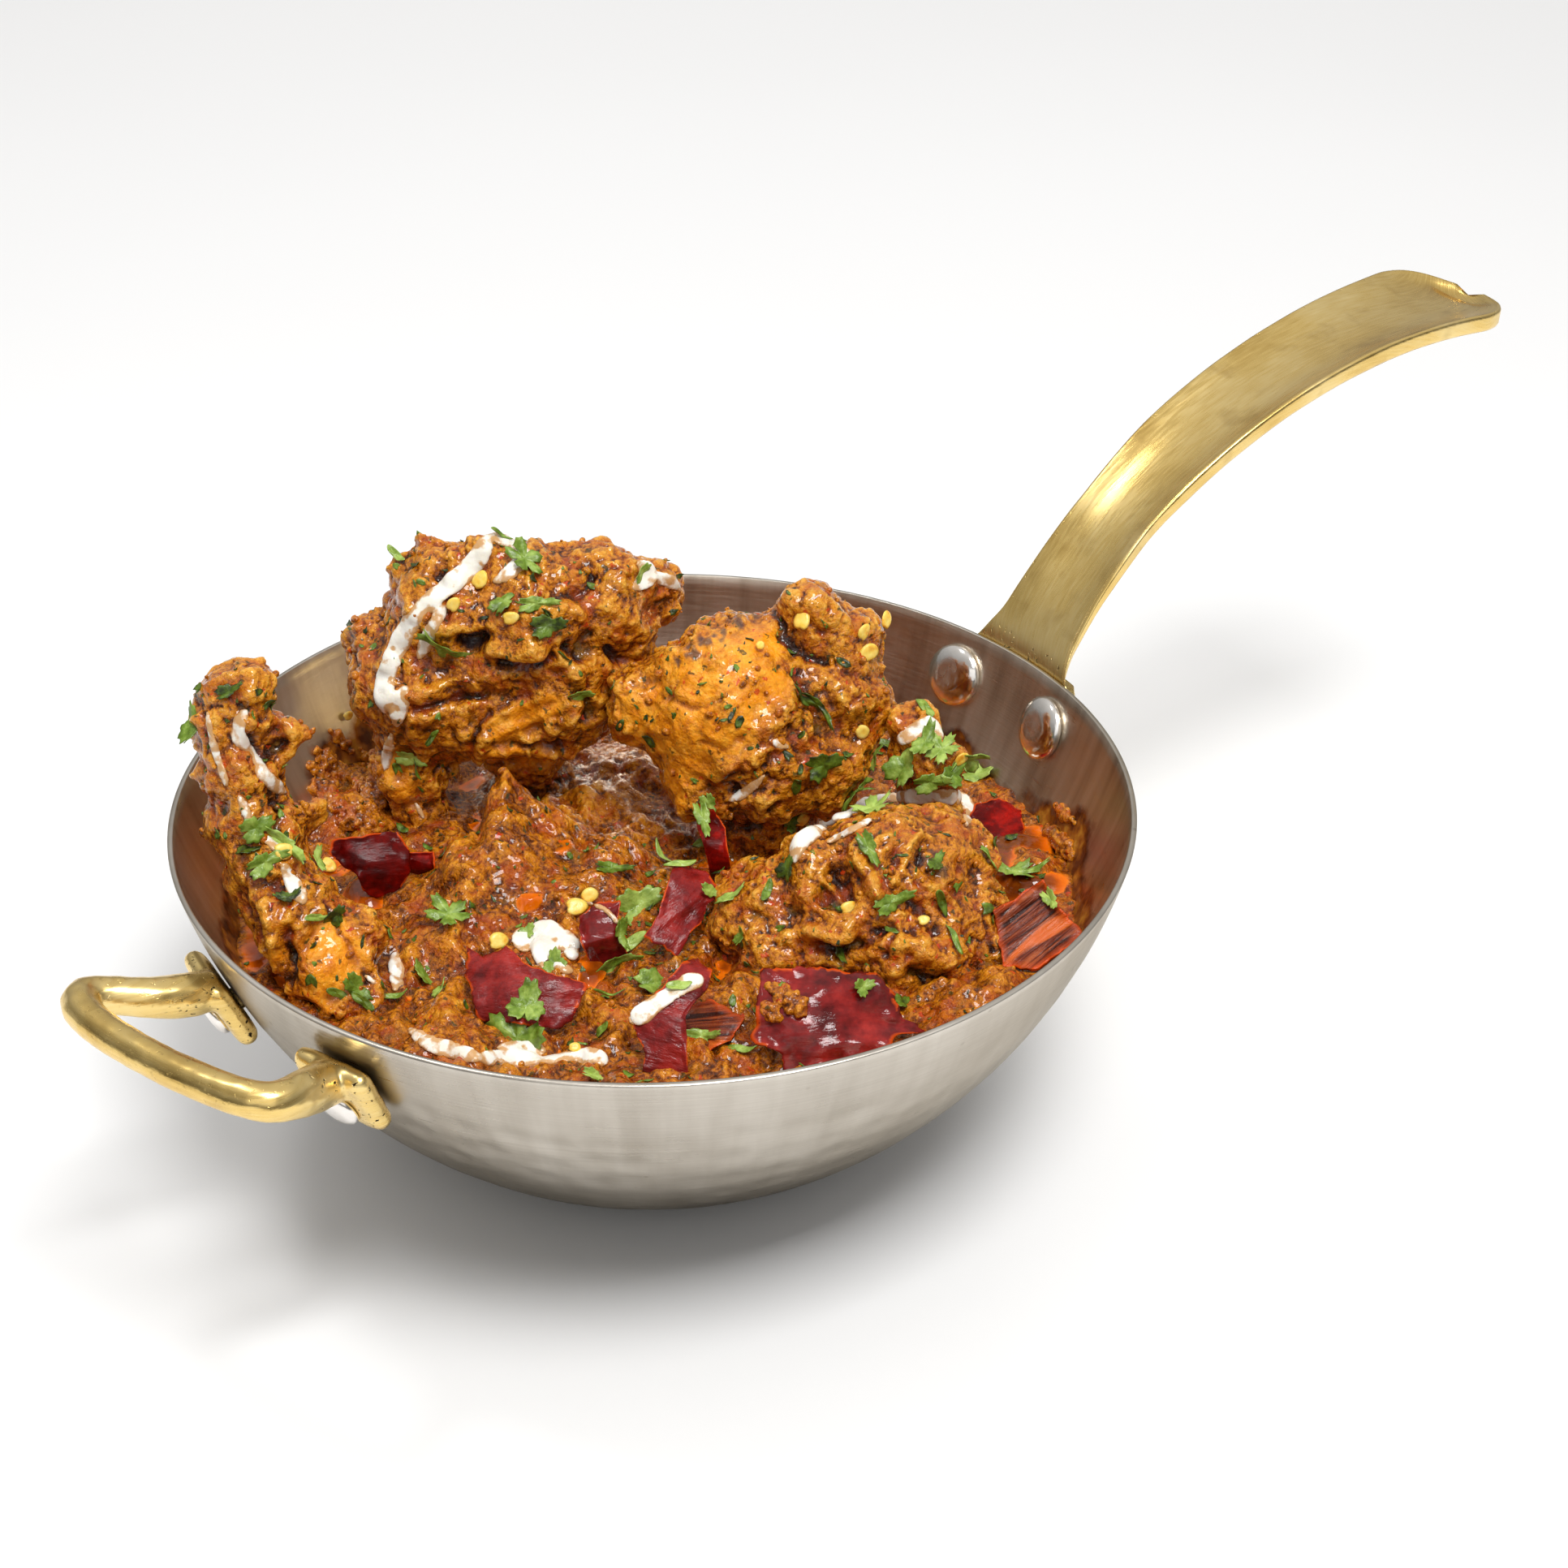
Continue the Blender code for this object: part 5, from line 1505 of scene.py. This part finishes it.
# ---- where garnish lands


def surface_tree(objects):
    """One tree of all the faces of some objects, in the object's frame."""
    points = []
    faces = []
    for obj in objects:
        start = len(points)
        points += [tuple(point) for point in coordinates(obj.data)]
        faces += [tuple(start + index for index in face.vertices) for face in obj.data.polygons]
    return BVHTree.FromPolygons(points, faces)


def seen(tree, across, up):
    """The point and outward direction of the food that shows at a place in the diner's view."""
    target = VIEW_CENTRE + EYE_RIGHT * across * MM + EYE_UP * up * MM
    ray = (target - EYE_PLACE).normalized()
    point, normal, _, _ = tree.ray_cast(EYE_PLACE, ray)
    if point is None:
        point, normal, _, _ = tree.find_nearest(target)
    if normal.dot(ray) > 0:
        normal = -normal
    return point, normal


# ---- cream and clumps of masala

CREAM_STROKES = (  # half width in mm, then (across, up) as the diner sees it
    (1.1, (-92.6, 24.9), (-91.5, 18.6), (-88.6, 9.6)),
    (1.6, (-84.7, 25.4), (-86.4, 20.1), (-83.3, 15.9), (-81, 11.7), (-76.6, 8)),
    (1.4, (-86.3, 7.4), (-84.7, 4.3), (-83.6, 1.1)),
    (1.3, (-81, -1), (-77.8, -4.2), (-75.2, -5.3)),
    (2.1, (-77, -7), (-74.6, -11.6), (-72.5, -15)),
    (2, (-53.6, -25.5), (-53, -29.5), (-53.6, -33.5)),
    (2.5, (-34, 61.5), (-36.5, 56.5), (-40.5, 52.5), (-46, 48), (-50.5, 43), (-53, 38), (-55, 33.5),
     (-56, 28.5), (-55.8, 25)),
    (2, (-34, 61.5), (-29.5, 60), (-26.5, 57.5), (-30, 53.5), (-33, 52)),
    (1.7, (-43, 47), (-45.5, 43), (-47, 39.5), (-48.6, 36)),
    (2.3, (-51.6, 30), (-52.5, 26), (-53.4, 22)),
    (1.4, (-54.2, 20.5), (-55, 16.5), (-55.8, 12.5)),
    (1.1, (-49.5, 6), (-47.5, 2.5)),
    (2.2, (-3, 56), (-0.5, 53.5), (-4, 50.5)),
    (1.6, (-0.5, 53.5), (4, 52), (6, 50)),
    (1.4, (25, 19), (26.5, 18), (28.5, 17.5)),
    (1.3, (23.5, 11.8), (20, 8.3), (16, 6.2)),
    (2.4, (51.5, 19), (55, 20.5), (58.5, 22.5), (60, 19)),
    (2, (29.7, -6.5), (31, -2.5), (36, 1), (43, 4.5), (49, 6.5), (56, 7.4), (62.5, 7.4), (66, 5.5),
     (65.4, 1)),
    (1.3, (36.5, -2.5), (41, -0.3), (46, 2.5)),
    (3.6, (-24.5, -20.5), (-18.5, -23.5)),
    (3.4, (-24.5, -24.5), (-20, -27)),
    (2.6, (-22, -19.5), (-22.5, -28.5)),
    (2.8, (-27, -20.5), (-26.6, -25)),
    (2.4, (-18, -21), (-16.5, -26.5)),
    (1.8, (-20.5, -28), (-16.5, -29.5)),
    (2.2, (-4.2, -39.8), (0, -36.8), (5, -33.4), (10.2, -30.4)),
    (2.2, (-36.5, -47.5), (-29.5, -47.6), (-22, -48), (-15, -47), (-9.5, -48.2)),
    (1.8, (-32, -45.4), (-27, -45.2), (-22.5, -46)),
    (1.8, (-50.5, -41.5), (-46, -44.5), (-41, -46), (-36, -47.5)),
    (0.8, (-14, -15), (-10.5, -16), (-8.5, -17.5), (-6, -21)),
    (1.2, (-60, -30), (-57.5, -32)),
)
CLUMPS = (  # half width in mm, then (across, up) as the diner sees it
    (2.6, (-70, 17), (-66, 13), (-61, 10), (-56, 6)),
    (2.4, (-71, 10), (-66, 6), (-60, 2), (-55, 1)),
    (1.7, (-67, 21), (-62, 16)),
    (1.5, (-58, 15), (-56, 11)),
    (2.6, (24.5, -32.5), (28.5, -35), (31.5, -38)),
    (2.2, (23.5, -36), (26, -39.5)),
    (2.4, (82.5, 1), (85.5, -2.5), (88, -5.5)),
    (1.4, (84, 5.5), (88.5, 1.5)),
    (1.8, (-72, 14), (-68, 11), (-66, 7)),
    (2.4, (-64, 12), (-60, 9), (-58.5, 4)),
    (1.4, (-73.5, 6), (-70, 3)),
    (1.2, (-61, 17.5), (-59, 14)),
    (2, (-66, 2), (-62, 1)),
)
STROKE_STEP = 0.35  # mm
LARGEST_DROP = 1.8 * MM  # between two places of a stroke that still run together
THINNEST = 0.38 * MM
STROKE_LIFT = 0.15 * MM
STROKE_VOXEL = 0.38 * MM


def eased(rows):
    """Rows averaged with their neighbours along a route."""
    spread = min(9, len(rows))
    weights = np.full(spread, 1 / spread)
    padded = np.pad(rows, ((spread // 2, spread - 1 - spread // 2), (0, 0)), mode="edge")
    return np.stack([np.convolve(column, weights, "valid") for column in padded.T], axis=-1)


def smear(name, strokes, tree, surface, flatness, unevenness):
    """Soft food run together along strokes and flattened onto what lies under it, broken off at each drop."""
    matrices = []
    for number, (half, *points) in enumerate(strokes):
        route = smooth_route(points, STROKE_STEP)
        wave = np.array([[index * STROKE_STEP * MM, number * 5 * MM, 0] for index in range(len(route))])
        swell = 1 + unevenness * noise(wave, 6 * MM, 90)
        landed = np.array([[*point, *normal] for point, normal in (seen(tree, *step) for step in route)])
        steps = np.linalg.norm(np.diff(landed[:, :3], axis=0), axis=1)
        runs = np.split(landed, np.flatnonzero(steps > LARGEST_DROP) + 1)
        for index, row in enumerate(np.concatenate([eased(run) for run in runs])):
            from_end = min(index, len(route) - 1 - index) * STROKE_STEP
            normal = Vector(row[3:]).normalized()
            radius = half * MM * swell[index] * min(1, 0.4 + 0.22 * from_end)
            lying_on = normal.to_track_quat("Z", "Y").to_matrix().to_4x4()
            flat = Matrix.Diagonal((radius, radius, max(flatness * radius, THINNEST), 1))
            matrices.append(Matrix.Translation(Vector(row[:3]) + normal * STROKE_LIFT) @ lying_on @ flat)
    points, faces = copies(ball(2), matrices)
    return remesh(mesh_object(name, points, faces, surface), STROKE_VOXEL, 7)


def make_cream(tree):
    cream = smear("cream_drizzle", CREAM_STROKES, tree, CREAM, 0.26, 0.30)
    push_out(cream.data, (0.10 + 0.16 * noise(coordinates(cream.data), 2.6 * MM, 71)) * MM)
    gap = np.array([tree.find_nearest(Vector(point))[3] for point in coordinates(cream.data)])
    mark(cream.data, "thin", 1 - smooth_step(0.3 * MM, 1.0 * MM, gap))
    return dress(cream, "masala")


def make_clumps(tree):
    """Lumps of masala left on the chilli skin and on the pan's wall."""
    lumps = smear("masala_clumps", CLUMPS, tree, MASALA, 0.6, 0.5)
    points = coordinates(lumps.data)
    rough = 0.9 * clumps(points, 2.4 * MM, 72) + 0.5 * grains(points, 1.2 * MM, 73)
    points += normals(lumps.data) * ((rough - 0.4) * MM)[:, None]
    reach = np.hypot(points[:, 0], points[:, 1])
    points[:, :2] *= np.minimum(1, wall_radius(points[:, 2], WALL / 2) / reach)[:, None]
    set_coordinates(lumps.data, points)
    # Painted shade and light: darker in the hollows, lighter on the crests.
    mark(lumps.data, "relief", np.clip(0.5 - 0.5 * hollows(lumps.data, 6), 0, 1))
    return dress(lumps, "masala")


# ---- coriander

LEAVES = (  # (across, up) as the diner sees it, length, width (mm), turn (degrees), lobes, shade
    (-27.8, -43.5, 14, 11, -60, 7, 0.5), (-26, -36.5, 8.5, 7, 80, 5, 0.55),
    (-20, -28, 6, 4.5, 100, 3, 0.62), (-26, -21.5, 3.6, 3, 70, 3, 0.6), (-3, -15.8, 9.5, 7.5, 35, 5, 0.72),
    (-8, -28, 10, 5.5, 30, 5, 0.52), (-4.8, -24, 8, 3.2, 40, 2, 0.85), (-7, -21, 6.5, 3.2, -70, 3, 0.55),
    (2.8, -7, 9, 3, 80, 2, 0.92), (6, -7.4, 6, 1.8, 10, 1, 0.8), (0.2, -32.5, 9.5, 5.4, 15, 4, 0.55),
    (5.5, -33, 4.5, 2.6, 20, 2, 0.75), (-9.7, -35, 6, 1.4, 70, 1, 0.5), (12, -13, 6, 2.4, -10, 3, 0.72),
    (16.5, -14.2, 7, 2.6, 20, 3, 0.75), (-8, -7.5, 8, 2.4, 0, 3, 0.35), (10.5, 2, 8, 3, -75, 3, 0.6),
    (10.5, -2.6, 4, 2.6, 30, 2, 0.5), (-42, -17.5, 9, 7, -25, 7, 0.55), (-47.5, -31, 7.5, 5.5, 20, 5, 0.6),
    (-43.5, -33.5, 4.5, 2.6, 60, 3, 0.7), (-62, -32.5, 7, 3.6, -40, 3, 0.42),
    (-70.5, -31, 3.2, 3, 80, 3, 0.3), (-65.5, -33.5, 4, 2.2, -30, 2, 0.5),
    (-26.5, 56.5, 9, 6, -50, 6, 0.55), (-43.8, 38.5, 12, 6, -80, 7, 0.5),
    (-31, 47.5, 7.5, 4.2, 70, 4, 0.52), (-24, 47.5, 9, 3, 5, 3, 0.62), (-22, 42.5, 7.5, 4.6, 10, 5, 0.2),
    (-15.2, 28.5, 5.5, 3.2, 25, 3, 0.55), (-50.2, 15.5, 7, 3.4, -15, 3, 0.82),
    (-48.5, 13, 4.5, 2.6, 20, 2, 0.3), (-3, 54, 5, 3.4, 20, 3, 0.8), (-32, 61.5, 5, 1.4, 5, 1, 0.6),
    (-53, 57.5, 5, 2, -50, 1, 0.8), (-46, 20, 4, 1.6, 60, 2, 0.3), (53, 13.5, 10, 6, 55, 4, 0.6),
    (57, 18, 9, 4.4, 75, 3, 0.62), (60.5, 16.5, 8, 6, 60, 6, 0.78), (58.5, 10.5, 8, 4.2, 15, 4, 0.62),
    (65, 15, 8.5, 6, 20, 7, 0.72), (67.5, 11.5, 7, 5, -20, 5, 0.8), (62.5, 11.5, 7, 4.6, 50, 4, 0.45),
    (57, 25.5, 6, 2.4, -60, 2, 0.62), (49, 17.5, 7.5, 2.4, -10, 2, 0.42), (45.5, 15.5, 6, 3.2, 30, 3, 0.5),
    (35.5, 13.8, 8, 6, 10, 5, 0.25), (41, 7.6, 8, 3.4, 5, 3, 0.6), (43.5, 10.5, 6, 2, -10, 2, 0.45),
    (28.5, 1.5, 6, 3.4, 30, 3, 0.38), (34.5, 26.5, 10, 2.4, -50, 3, 0.2), (30.5, 28, 6, 2.2, 5, 2, 0.16),
    (12, 6, 5, 3, -70, 3, 0.62), (46.3, 4.2, 8, 6, 60, 6, 0.88), (45, -4, 8, 3.2, -65, 4, 0.45),
    (49.5, -15, 8.5, 3.6, 25, 4, 0.52), (63, -23, 6.5, 1.8, -80, 1, 0.5), (59, -7, 6.5, 3, 60, 3, 0.32),
    (60, -14, 6, 2.2, -70, 2, 0.32), (76, -9, 11.5, 5, 5, 6, 0.68), (69.5, -5.8, 6, 3, -5, 3, 0.62),
    (83.8, -15, 6, 2.6, -50, 3, 0.8), (43.8, -32.8, 4.5, 3.4, 20, 4, 0.6), (11, -43, 9, 2.6, 0, 3, 0.66),
    (18.5, -46, 6, 2.2, -35, 2, 0.62), (-96, 26.5, 9, 5, 60, 6, 0.52), (-95.5, 21.5, 8, 4, 80, 4, 0.42),
    (-82.5, 0.5, 7, 5, 20, 5, 0.55), (-76.5, -3, 12, 3.4, -30, 3, 0.88), (-81, -6.5, 9, 4, 20, 5, 0.6),
    (-70.5, -6.5, 6, 3, 50, 3, 0.8), (-88, 29, 6, 2.6, 20, 3, 0.22), (-84.5, -4.5, 5, 4, 40, 4, 0.12),
    (-70, -18, 6, 1.8, 5, 1, 0.7), (-60, -35.5, 5, 2.4, -40, 2, 0.38), (-66, -17.5, 5, 3.6, 60, 4, 0.15),
    (-76, -14, 5, 3, 40, 3, 0.15), (30, 10, 5, 2.4, 80, 2, 0.3), (-53, -35, 5, 1.8, 10, 2, 0.6),
    (-10, -42, 4, 2, 30, 2, 0.5), (27, -34, 4, 2.4, 80, 3, 0.5), (-12, -51.5, 6, 2.2, 0, 3, 0.72),
    (24, -13, 4.5, 2.2, 75, 2, 0.5), (29, -8, 6, 4, 60, 4, 0.14), (19, -22, 3.6, 2.8, 60, 3, 0.4),
    (39, -26, 5, 4, 40, 4, 0.14), (52, -36, 5, 3, 30, 3, 0.25),
)
LEAF_GROWTH = 1.14  # over the lengths and widths of the table
LEAF_RIPPLE = 500  # radians per metre
LEAF_THICKNESS = 0.16 * MM
LEAF_LIFT = 0.9 * MM
FLECK_LIFT = 0.15 * MM
SMALL_LEAF = 4 * MM
FLECKS = 700


def leaf_outline(lobes, angle, phase):
    """How far a leaf's toothed edge is from its middle at an angle from its tip, in half lengths."""
    if lobes < 3:
        return (0.85 + 0.15 * math.cos(2 * angle)) * (1 + 0.05 * math.sin(5 * angle + phase))
    fingers = 3 if lobes < 6 else 5
    finger = abs(math.cos(fingers * angle / 2)) ** 0.55
    return (0.42 + 0.58 * finger) * (1 + 0.11 * math.cos(4 * fingers * angle + phase))


def add_leaf(points, faces, shades, place, length, width, lobes, shade, seed):
    """One leaf sheet: a fan of toothed lobes, or a chopped strip, with raised folds and a curl."""
    random = np.random.default_rng(seed)
    phase, bend, cup = random.uniform(0, 6), random.uniform(-0.3, 0.9) / length, random.uniform(0.05, 0.3)
    rings, steps = (2, 8) if length < SMALL_LEAF else (5, 40)
    start = len(points)
    points.append(place.translation[:])
    shades.append(shade)
    for ring in range(1, rings + 1):
        share = ring / rings
        for step in range(steps):
            angle = 2 * math.pi * step / steps
            reach = length / 2 * share * (leaf_outline(lobes, angle, phase) if share > 0.2 else 0.6)
            x, y = reach * math.cos(angle), reach * math.sin(angle) * width / length
            fold = 0.10 * reach * math.cos((3 if lobes < 6 else 5) * angle + 0.4)
            z = bend * x * x + cup * abs(y) + fold + 0.12 * reach * math.sin(LEAF_RIPPLE * (x + y) + phase)
            points.append(tuple(place @ Vector((x, y, z))))
            shades.append(shade + random.uniform(-0.07, 0.07) + 0.10 * (0.5 - share))
    faces += [*fan(start, start + 1, steps), *flipped(grid_faces(rings, steps, start + 1))]


def lying(point, normal, lift, turn, tilt):
    """A frame over a surface: Z leaves it, X runs along the turn as the diner sees it."""
    side = (EYE_RIGHT * math.cos(turn) + EYE_UP * math.sin(turn)).normalized()
    upward = (normal + Vector(tilt)).normalized()
    ahead = (side - upward * side.dot(upward)).normalized()
    made = Matrix((ahead, upward.cross(ahead), upward)).transposed().to_4x4()
    made.translation = point + normal * lift
    return made


def make_coriander(tree, food_points, food_normals):
    points, faces, shades = [], [], []
    for number, (across, up, length, width, turn, lobes, shade) in enumerate(LEAVES):
        tilt = RANDOM.normal(0, 0.22, 3)
        place = lying(*seen(tree, across, up), LEAF_LIFT, math.radians(turn), tilt)
        length, width = LEAF_GROWTH * length * MM, LEAF_GROWTH * width * MM
        add_leaf(points, faces, shades, place, length, width, lobes, shade, number)
    for number, index in enumerate(RANDOM.choice(len(food_points), FLECKS, replace=False)):
        normal = Vector(food_normals[index]).normalized()
        turn, tilt = RANDOM.uniform(0, math.pi), RANDOM.normal(0, 0.25, 3)
        place = lying(Vector(food_points[index]), normal, FLECK_LIFT, turn, tilt)
        length = (0.9 + 3.0 * RANDOM.random() ** 2.4) * MM
        width = length * RANDOM.uniform(0.25, 0.8)
        lobes = int(RANDOM.integers(1, 5))
        add_leaf(points, faces, shades, place, length, width, lobes, RANDOM.uniform(0.0, 0.42), 1000 + number)
    leaves = mesh_object("coriander_leaves", points, faces, LEAF)
    mark(leaves.data, "shade", np.clip(shades, 0, 1))
    sheet = leaves.modifiers.new("sheet", "SOLIDIFY")
    sheet.thickness = LEAF_THICKNESS
    return dress(freeze(leaves), "masala")


# ---- seeds and loose masala

SEEDS = (  # (across, up) as the diner sees it, diameter (mm), turn, lean
    (-35, 52, 4.6, 40, 0.2), (-29, 44.5, 3.8, 10, 0.9), (32, 43.5, 4.8, 80, 0.1), (43.5, 41.5, 4, 70, 1),
    (44.5, 37.5, 5, 20, 0.2), (48, 43.5, 4.4, 60, 0.8), (-77.5, -4.5, 4.4, 0, 0.3),
    (-67.5, -8, 4.4, -50, 0.3), (-16, -16.5, 5, 10, 0.3), (-32.5, -23.5, 4.6, 15, 0.5),
    (-13, -14, 4.2, 30, 0.7), (43.5, 21, 4, -40, 1.2), (31, 3, 4, 80, 0.6), (41, -16.5, 4.2, 10, 0.9),
    (56.5, -19.5, 2.8, 20, 0.3), (-40.5, 47, 3.6, 60, 1.1), (64, 15.5, 3.8, 30, 0.9),
    (-16, -46, 2.6, 0, 0.5), (22, 38, 2.4, 20, 0.6), (-64, 24, 2.6, 20, 0.5),
)
SEED_LIFT = 1.2 * MM
SEED_BULGE = 0.42 * MM
SEED_MIDDLE = 0.30 * MM
SEED_SIDES = 20
SEED_RINGS = 5
GRAINS = 650


def make_seeds(tree):
    """Flat round chilli seeds with a thick rim and a small notch."""
    points, faces = [], []
    for number, (across, up, size, turn, lean) in enumerate(SEEDS):
        tilt = EYE_RIGHT * lean * 0.6 - EYE_UP * lean * 0.5 + EYE_RIGHT.cross(EYE_UP) * 0.7
        place = lying(*seen(tree, across, up), SEED_LIFT, math.radians(turn), tilt)
        edges = []
        for sheet in (1, -1):
            base = len(points)
            for ring in range(1, SEED_RINGS + 1):
                share = ring / SEED_RINGS
                for step in range(SEED_SIDES):
                    angle = 2 * math.pi * step / SEED_SIDES
                    notch = 1 - 0.22 * math.exp(-((angle - math.pi) ** 2) / 0.12)
                    reach = size / 2 * MM * share * notch * (1 + 0.05 * math.sin(3 * angle + number))
                    bulge = SEED_BULGE * (1 - share**4) * (0.75 + 0.35 * share)
                    x, y = reach * math.cos(angle), 0.78 * reach * math.sin(angle)
                    warp = 0.10 * x * y / (size * MM) + 0.05 * x
                    points.append(tuple(place @ Vector((x, y, sheet * bulge + warp))))
            faces += [*grid_faces(SEED_RINGS, SEED_SIDES, base), *fan(len(points), base, SEED_SIDES)]
            edges.append(len(points) - SEED_SIDES)
            points.append(tuple(place @ Vector((0, 0, sheet * SEED_MIDDLE))))
        upper, lower = edges
        for step in range(SEED_SIDES):
            after = (step + 1) % SEED_SIDES
            faces.append((upper + step, upper + after, lower + after, lower + step))
    seeds = mesh_object("chilli_seeds", points, faces, SEED)
    face_outward(seeds, merged=0.002 * MM)
    return dress(seeds, "masala")


def make_loose_masala(food_points, food_normals):
    """Single grains of masala that lie on the coating."""
    matrices = []
    for index in RANDOM.choice(len(food_points), GRAINS, replace=False):
        radius = (0.28 + 0.75 * RANDOM.random() ** 2.5) * MM
        normal = Vector(food_normals[index]).normalized()
        spin = Euler(RANDOM.uniform(0, 6, 3)).to_matrix().to_4x4()
        stretch = Matrix.Diagonal((*(radius * RANDOM.uniform(0.7, 1.35, 3)), 1))
        place = Vector(food_points[index]) + normal * 0.3 * radius
        matrices.append(Matrix.Translation(place) @ spin @ stretch)
    points, faces = copies(ball(2), matrices)
    points += 0.14 * MM * drift(points, 0.9 * MM, 81)
    loose = mesh_object("masala_grains", points, faces, MASALA)
    mark(loose.data, "relief", 0.62 + 0.25 * noise(points, 6 * MM, 84))
    return dress(loose, "masala")


# ---- studio

LIGHTS = (  # name, place and target in metres in the serving frame, width and height, power in watts, glossy
    ("key_softbox", (0.26, -0.52, 1.22), (0, 0, 0), (0.50, 0.50), 15, True),
    ("backdrop_softbox", (0, 1.7, 1.3), (0, 1.3, 0), (1.6, 1.0), 9, False),
    ("front_card", (0, -1.3, 0.75), (0, 0, 0), (1.6, 0.8), 3, True),
    ("left_lamp", (-0.40, 0.25, 1.1), (0, 0, 0), (0.16, 0.16), 1.6, True),
)
FLOOR_SIZE = 12
SENSOR_WIDTH = 36
CLIPPING = (0.01, 20)
DOME_TINT = (1.0, 0.985, 0.965, 1)
DOME_DIRECTION = (0, 0.28, 0.96)  # where the ceiling is brightest, in the serving frame
DOME_RANGE = {"From Min": 0.0, "From Max": 0.90, "To Min": 0.10, "To Max": 0.64}


def make_stage():
    bpy.ops.mesh.primitive_plane_add(size=FLOOR_SIZE, location=(0, 0, 0))
    floor = bpy.context.object
    floor.name = "studio_floor"
    n = Nodes("studio_white")
    paper = n.ramp(n.noise(0.5, 2), (0.3, (0.86, 0.86, 0.86)), (0.7, (0.88, 0.88, 0.88)))
    floor.data.materials.append(n.finish(Base_Color=paper, Roughness=0.7))


def add_light(name, place, target, size, power, glossy):
    light = bpy.data.lights.new(name, "AREA")
    light.shape = "RECTANGLE"
    light.size, light.size_y = size
    light.energy = power
    obj = link(bpy.data.objects.new(name, light))
    obj.location = SERVING @ Vector(place)
    aim = (SERVING @ Vector(target)) - obj.location
    obj.rotation_euler = aim.to_track_quat("-Z", "Y").to_euler()
    obj.visible_glossy = glossy


def make_lights():
    """A pale ceiling, and the lights round the table."""
    world = bpy.data.worlds.new("studio")
    world.use_nodes = True
    tree = world.node_tree
    direction = tree.nodes.new("ShaderNodeTexCoord")
    turned_up = tree.nodes.new("ShaderNodeVectorMath")
    turned_up.operation = "DOT_PRODUCT"
    turned_up.inputs[1].default_value = SERVING.to_3x3() @ Vector(DOME_DIRECTION)
    dome = tree.nodes.new("ShaderNodeMapRange")
    for key, value in DOME_RANGE.items():
        dome.inputs[key].default_value = value
    background = tree.nodes["Background"]
    background.inputs[0].default_value = DOME_TINT
    tree.links.new(direction.outputs["Generated"], turned_up.inputs[0])
    tree.links.new(turned_up.outputs["Value"], dome.inputs["Value"])
    tree.links.new(dome.outputs[0], background.inputs[1])
    bpy.context.scene.world = world
    for light in LIGHTS:
        add_light(*light)


def make_camera():
    camera = bpy.data.cameras.new("diner")
    camera.lens = LENS
    camera.sensor_width = SENSOR_WIDTH
    camera.clip_start, camera.clip_end = CLIPPING
    obj = link(bpy.data.objects.new("diner", camera))
    look = Matrix((EYE_RIGHT, EYE_UP, -EYE_FORWARD)).transposed().to_4x4()
    look.translation = EYE_PLACE
    obj.matrix_world = look
    bpy.context.scene.camera = obj
    bpy.context.scene.view_settings.view_transform = "Standard"


# ---- all together

OPEN_AIR = 50 * MM  # that has to be free over a place where loose food lands
DOWNWARD = -0.2  # upward share of a direction below which nothing lands
TRIED_POINTS = 9000
LOWEST_LANDING = 34 * MM  # below the rim


def open_food(objects):
    """Points of the food that have open air above them, and their directions."""
    tree = surface_tree(objects)
    points = np.concatenate([coordinates(obj.data) for obj in objects])
    outward = np.concatenate([normals(obj.data) for obj in objects])
    kept = []
    for index in RANDOM.choice(len(points), TRIED_POINTS, replace=False):
        point, normal = Vector(points[index]), Vector(outward[index])
        if point.z < RIM_HEIGHT - LOWEST_LANDING or normal.z < DOWNWARD:
            continue
        lift = (normal + Vector((0, 0, 0.6))).normalized()
        if tree.ray_cast(point + normal * 0.8 * MM, lift, OPEN_AIR)[0] is None:
            kept.append(index)
    return points[kept], outward[kept]


def main():
    make_camera()
    make_lights()
    make_stage()
    pan = make_pan()
    for rivet in RIVETS:
        make_rivet(*rivet)
    make_long_handle()
    make_loop_handle()
    food = [make_chicken(name, *look) for name, look in CHICKEN.items()]
    gravy = make_gravy(food)
    chillies = [make_chilli(name, *leaf) for name, leaf in CHILLIES.items()]
    tree = surface_tree([*food, gravy, *chillies, pan])
    make_cream(tree)
    make_clumps(tree)
    food_points, food_normals = open_food([*food, gravy])
    make_coriander(tree, food_points, food_normals)
    make_seeds(tree)
    make_loose_masala(food_points, food_normals)


main()
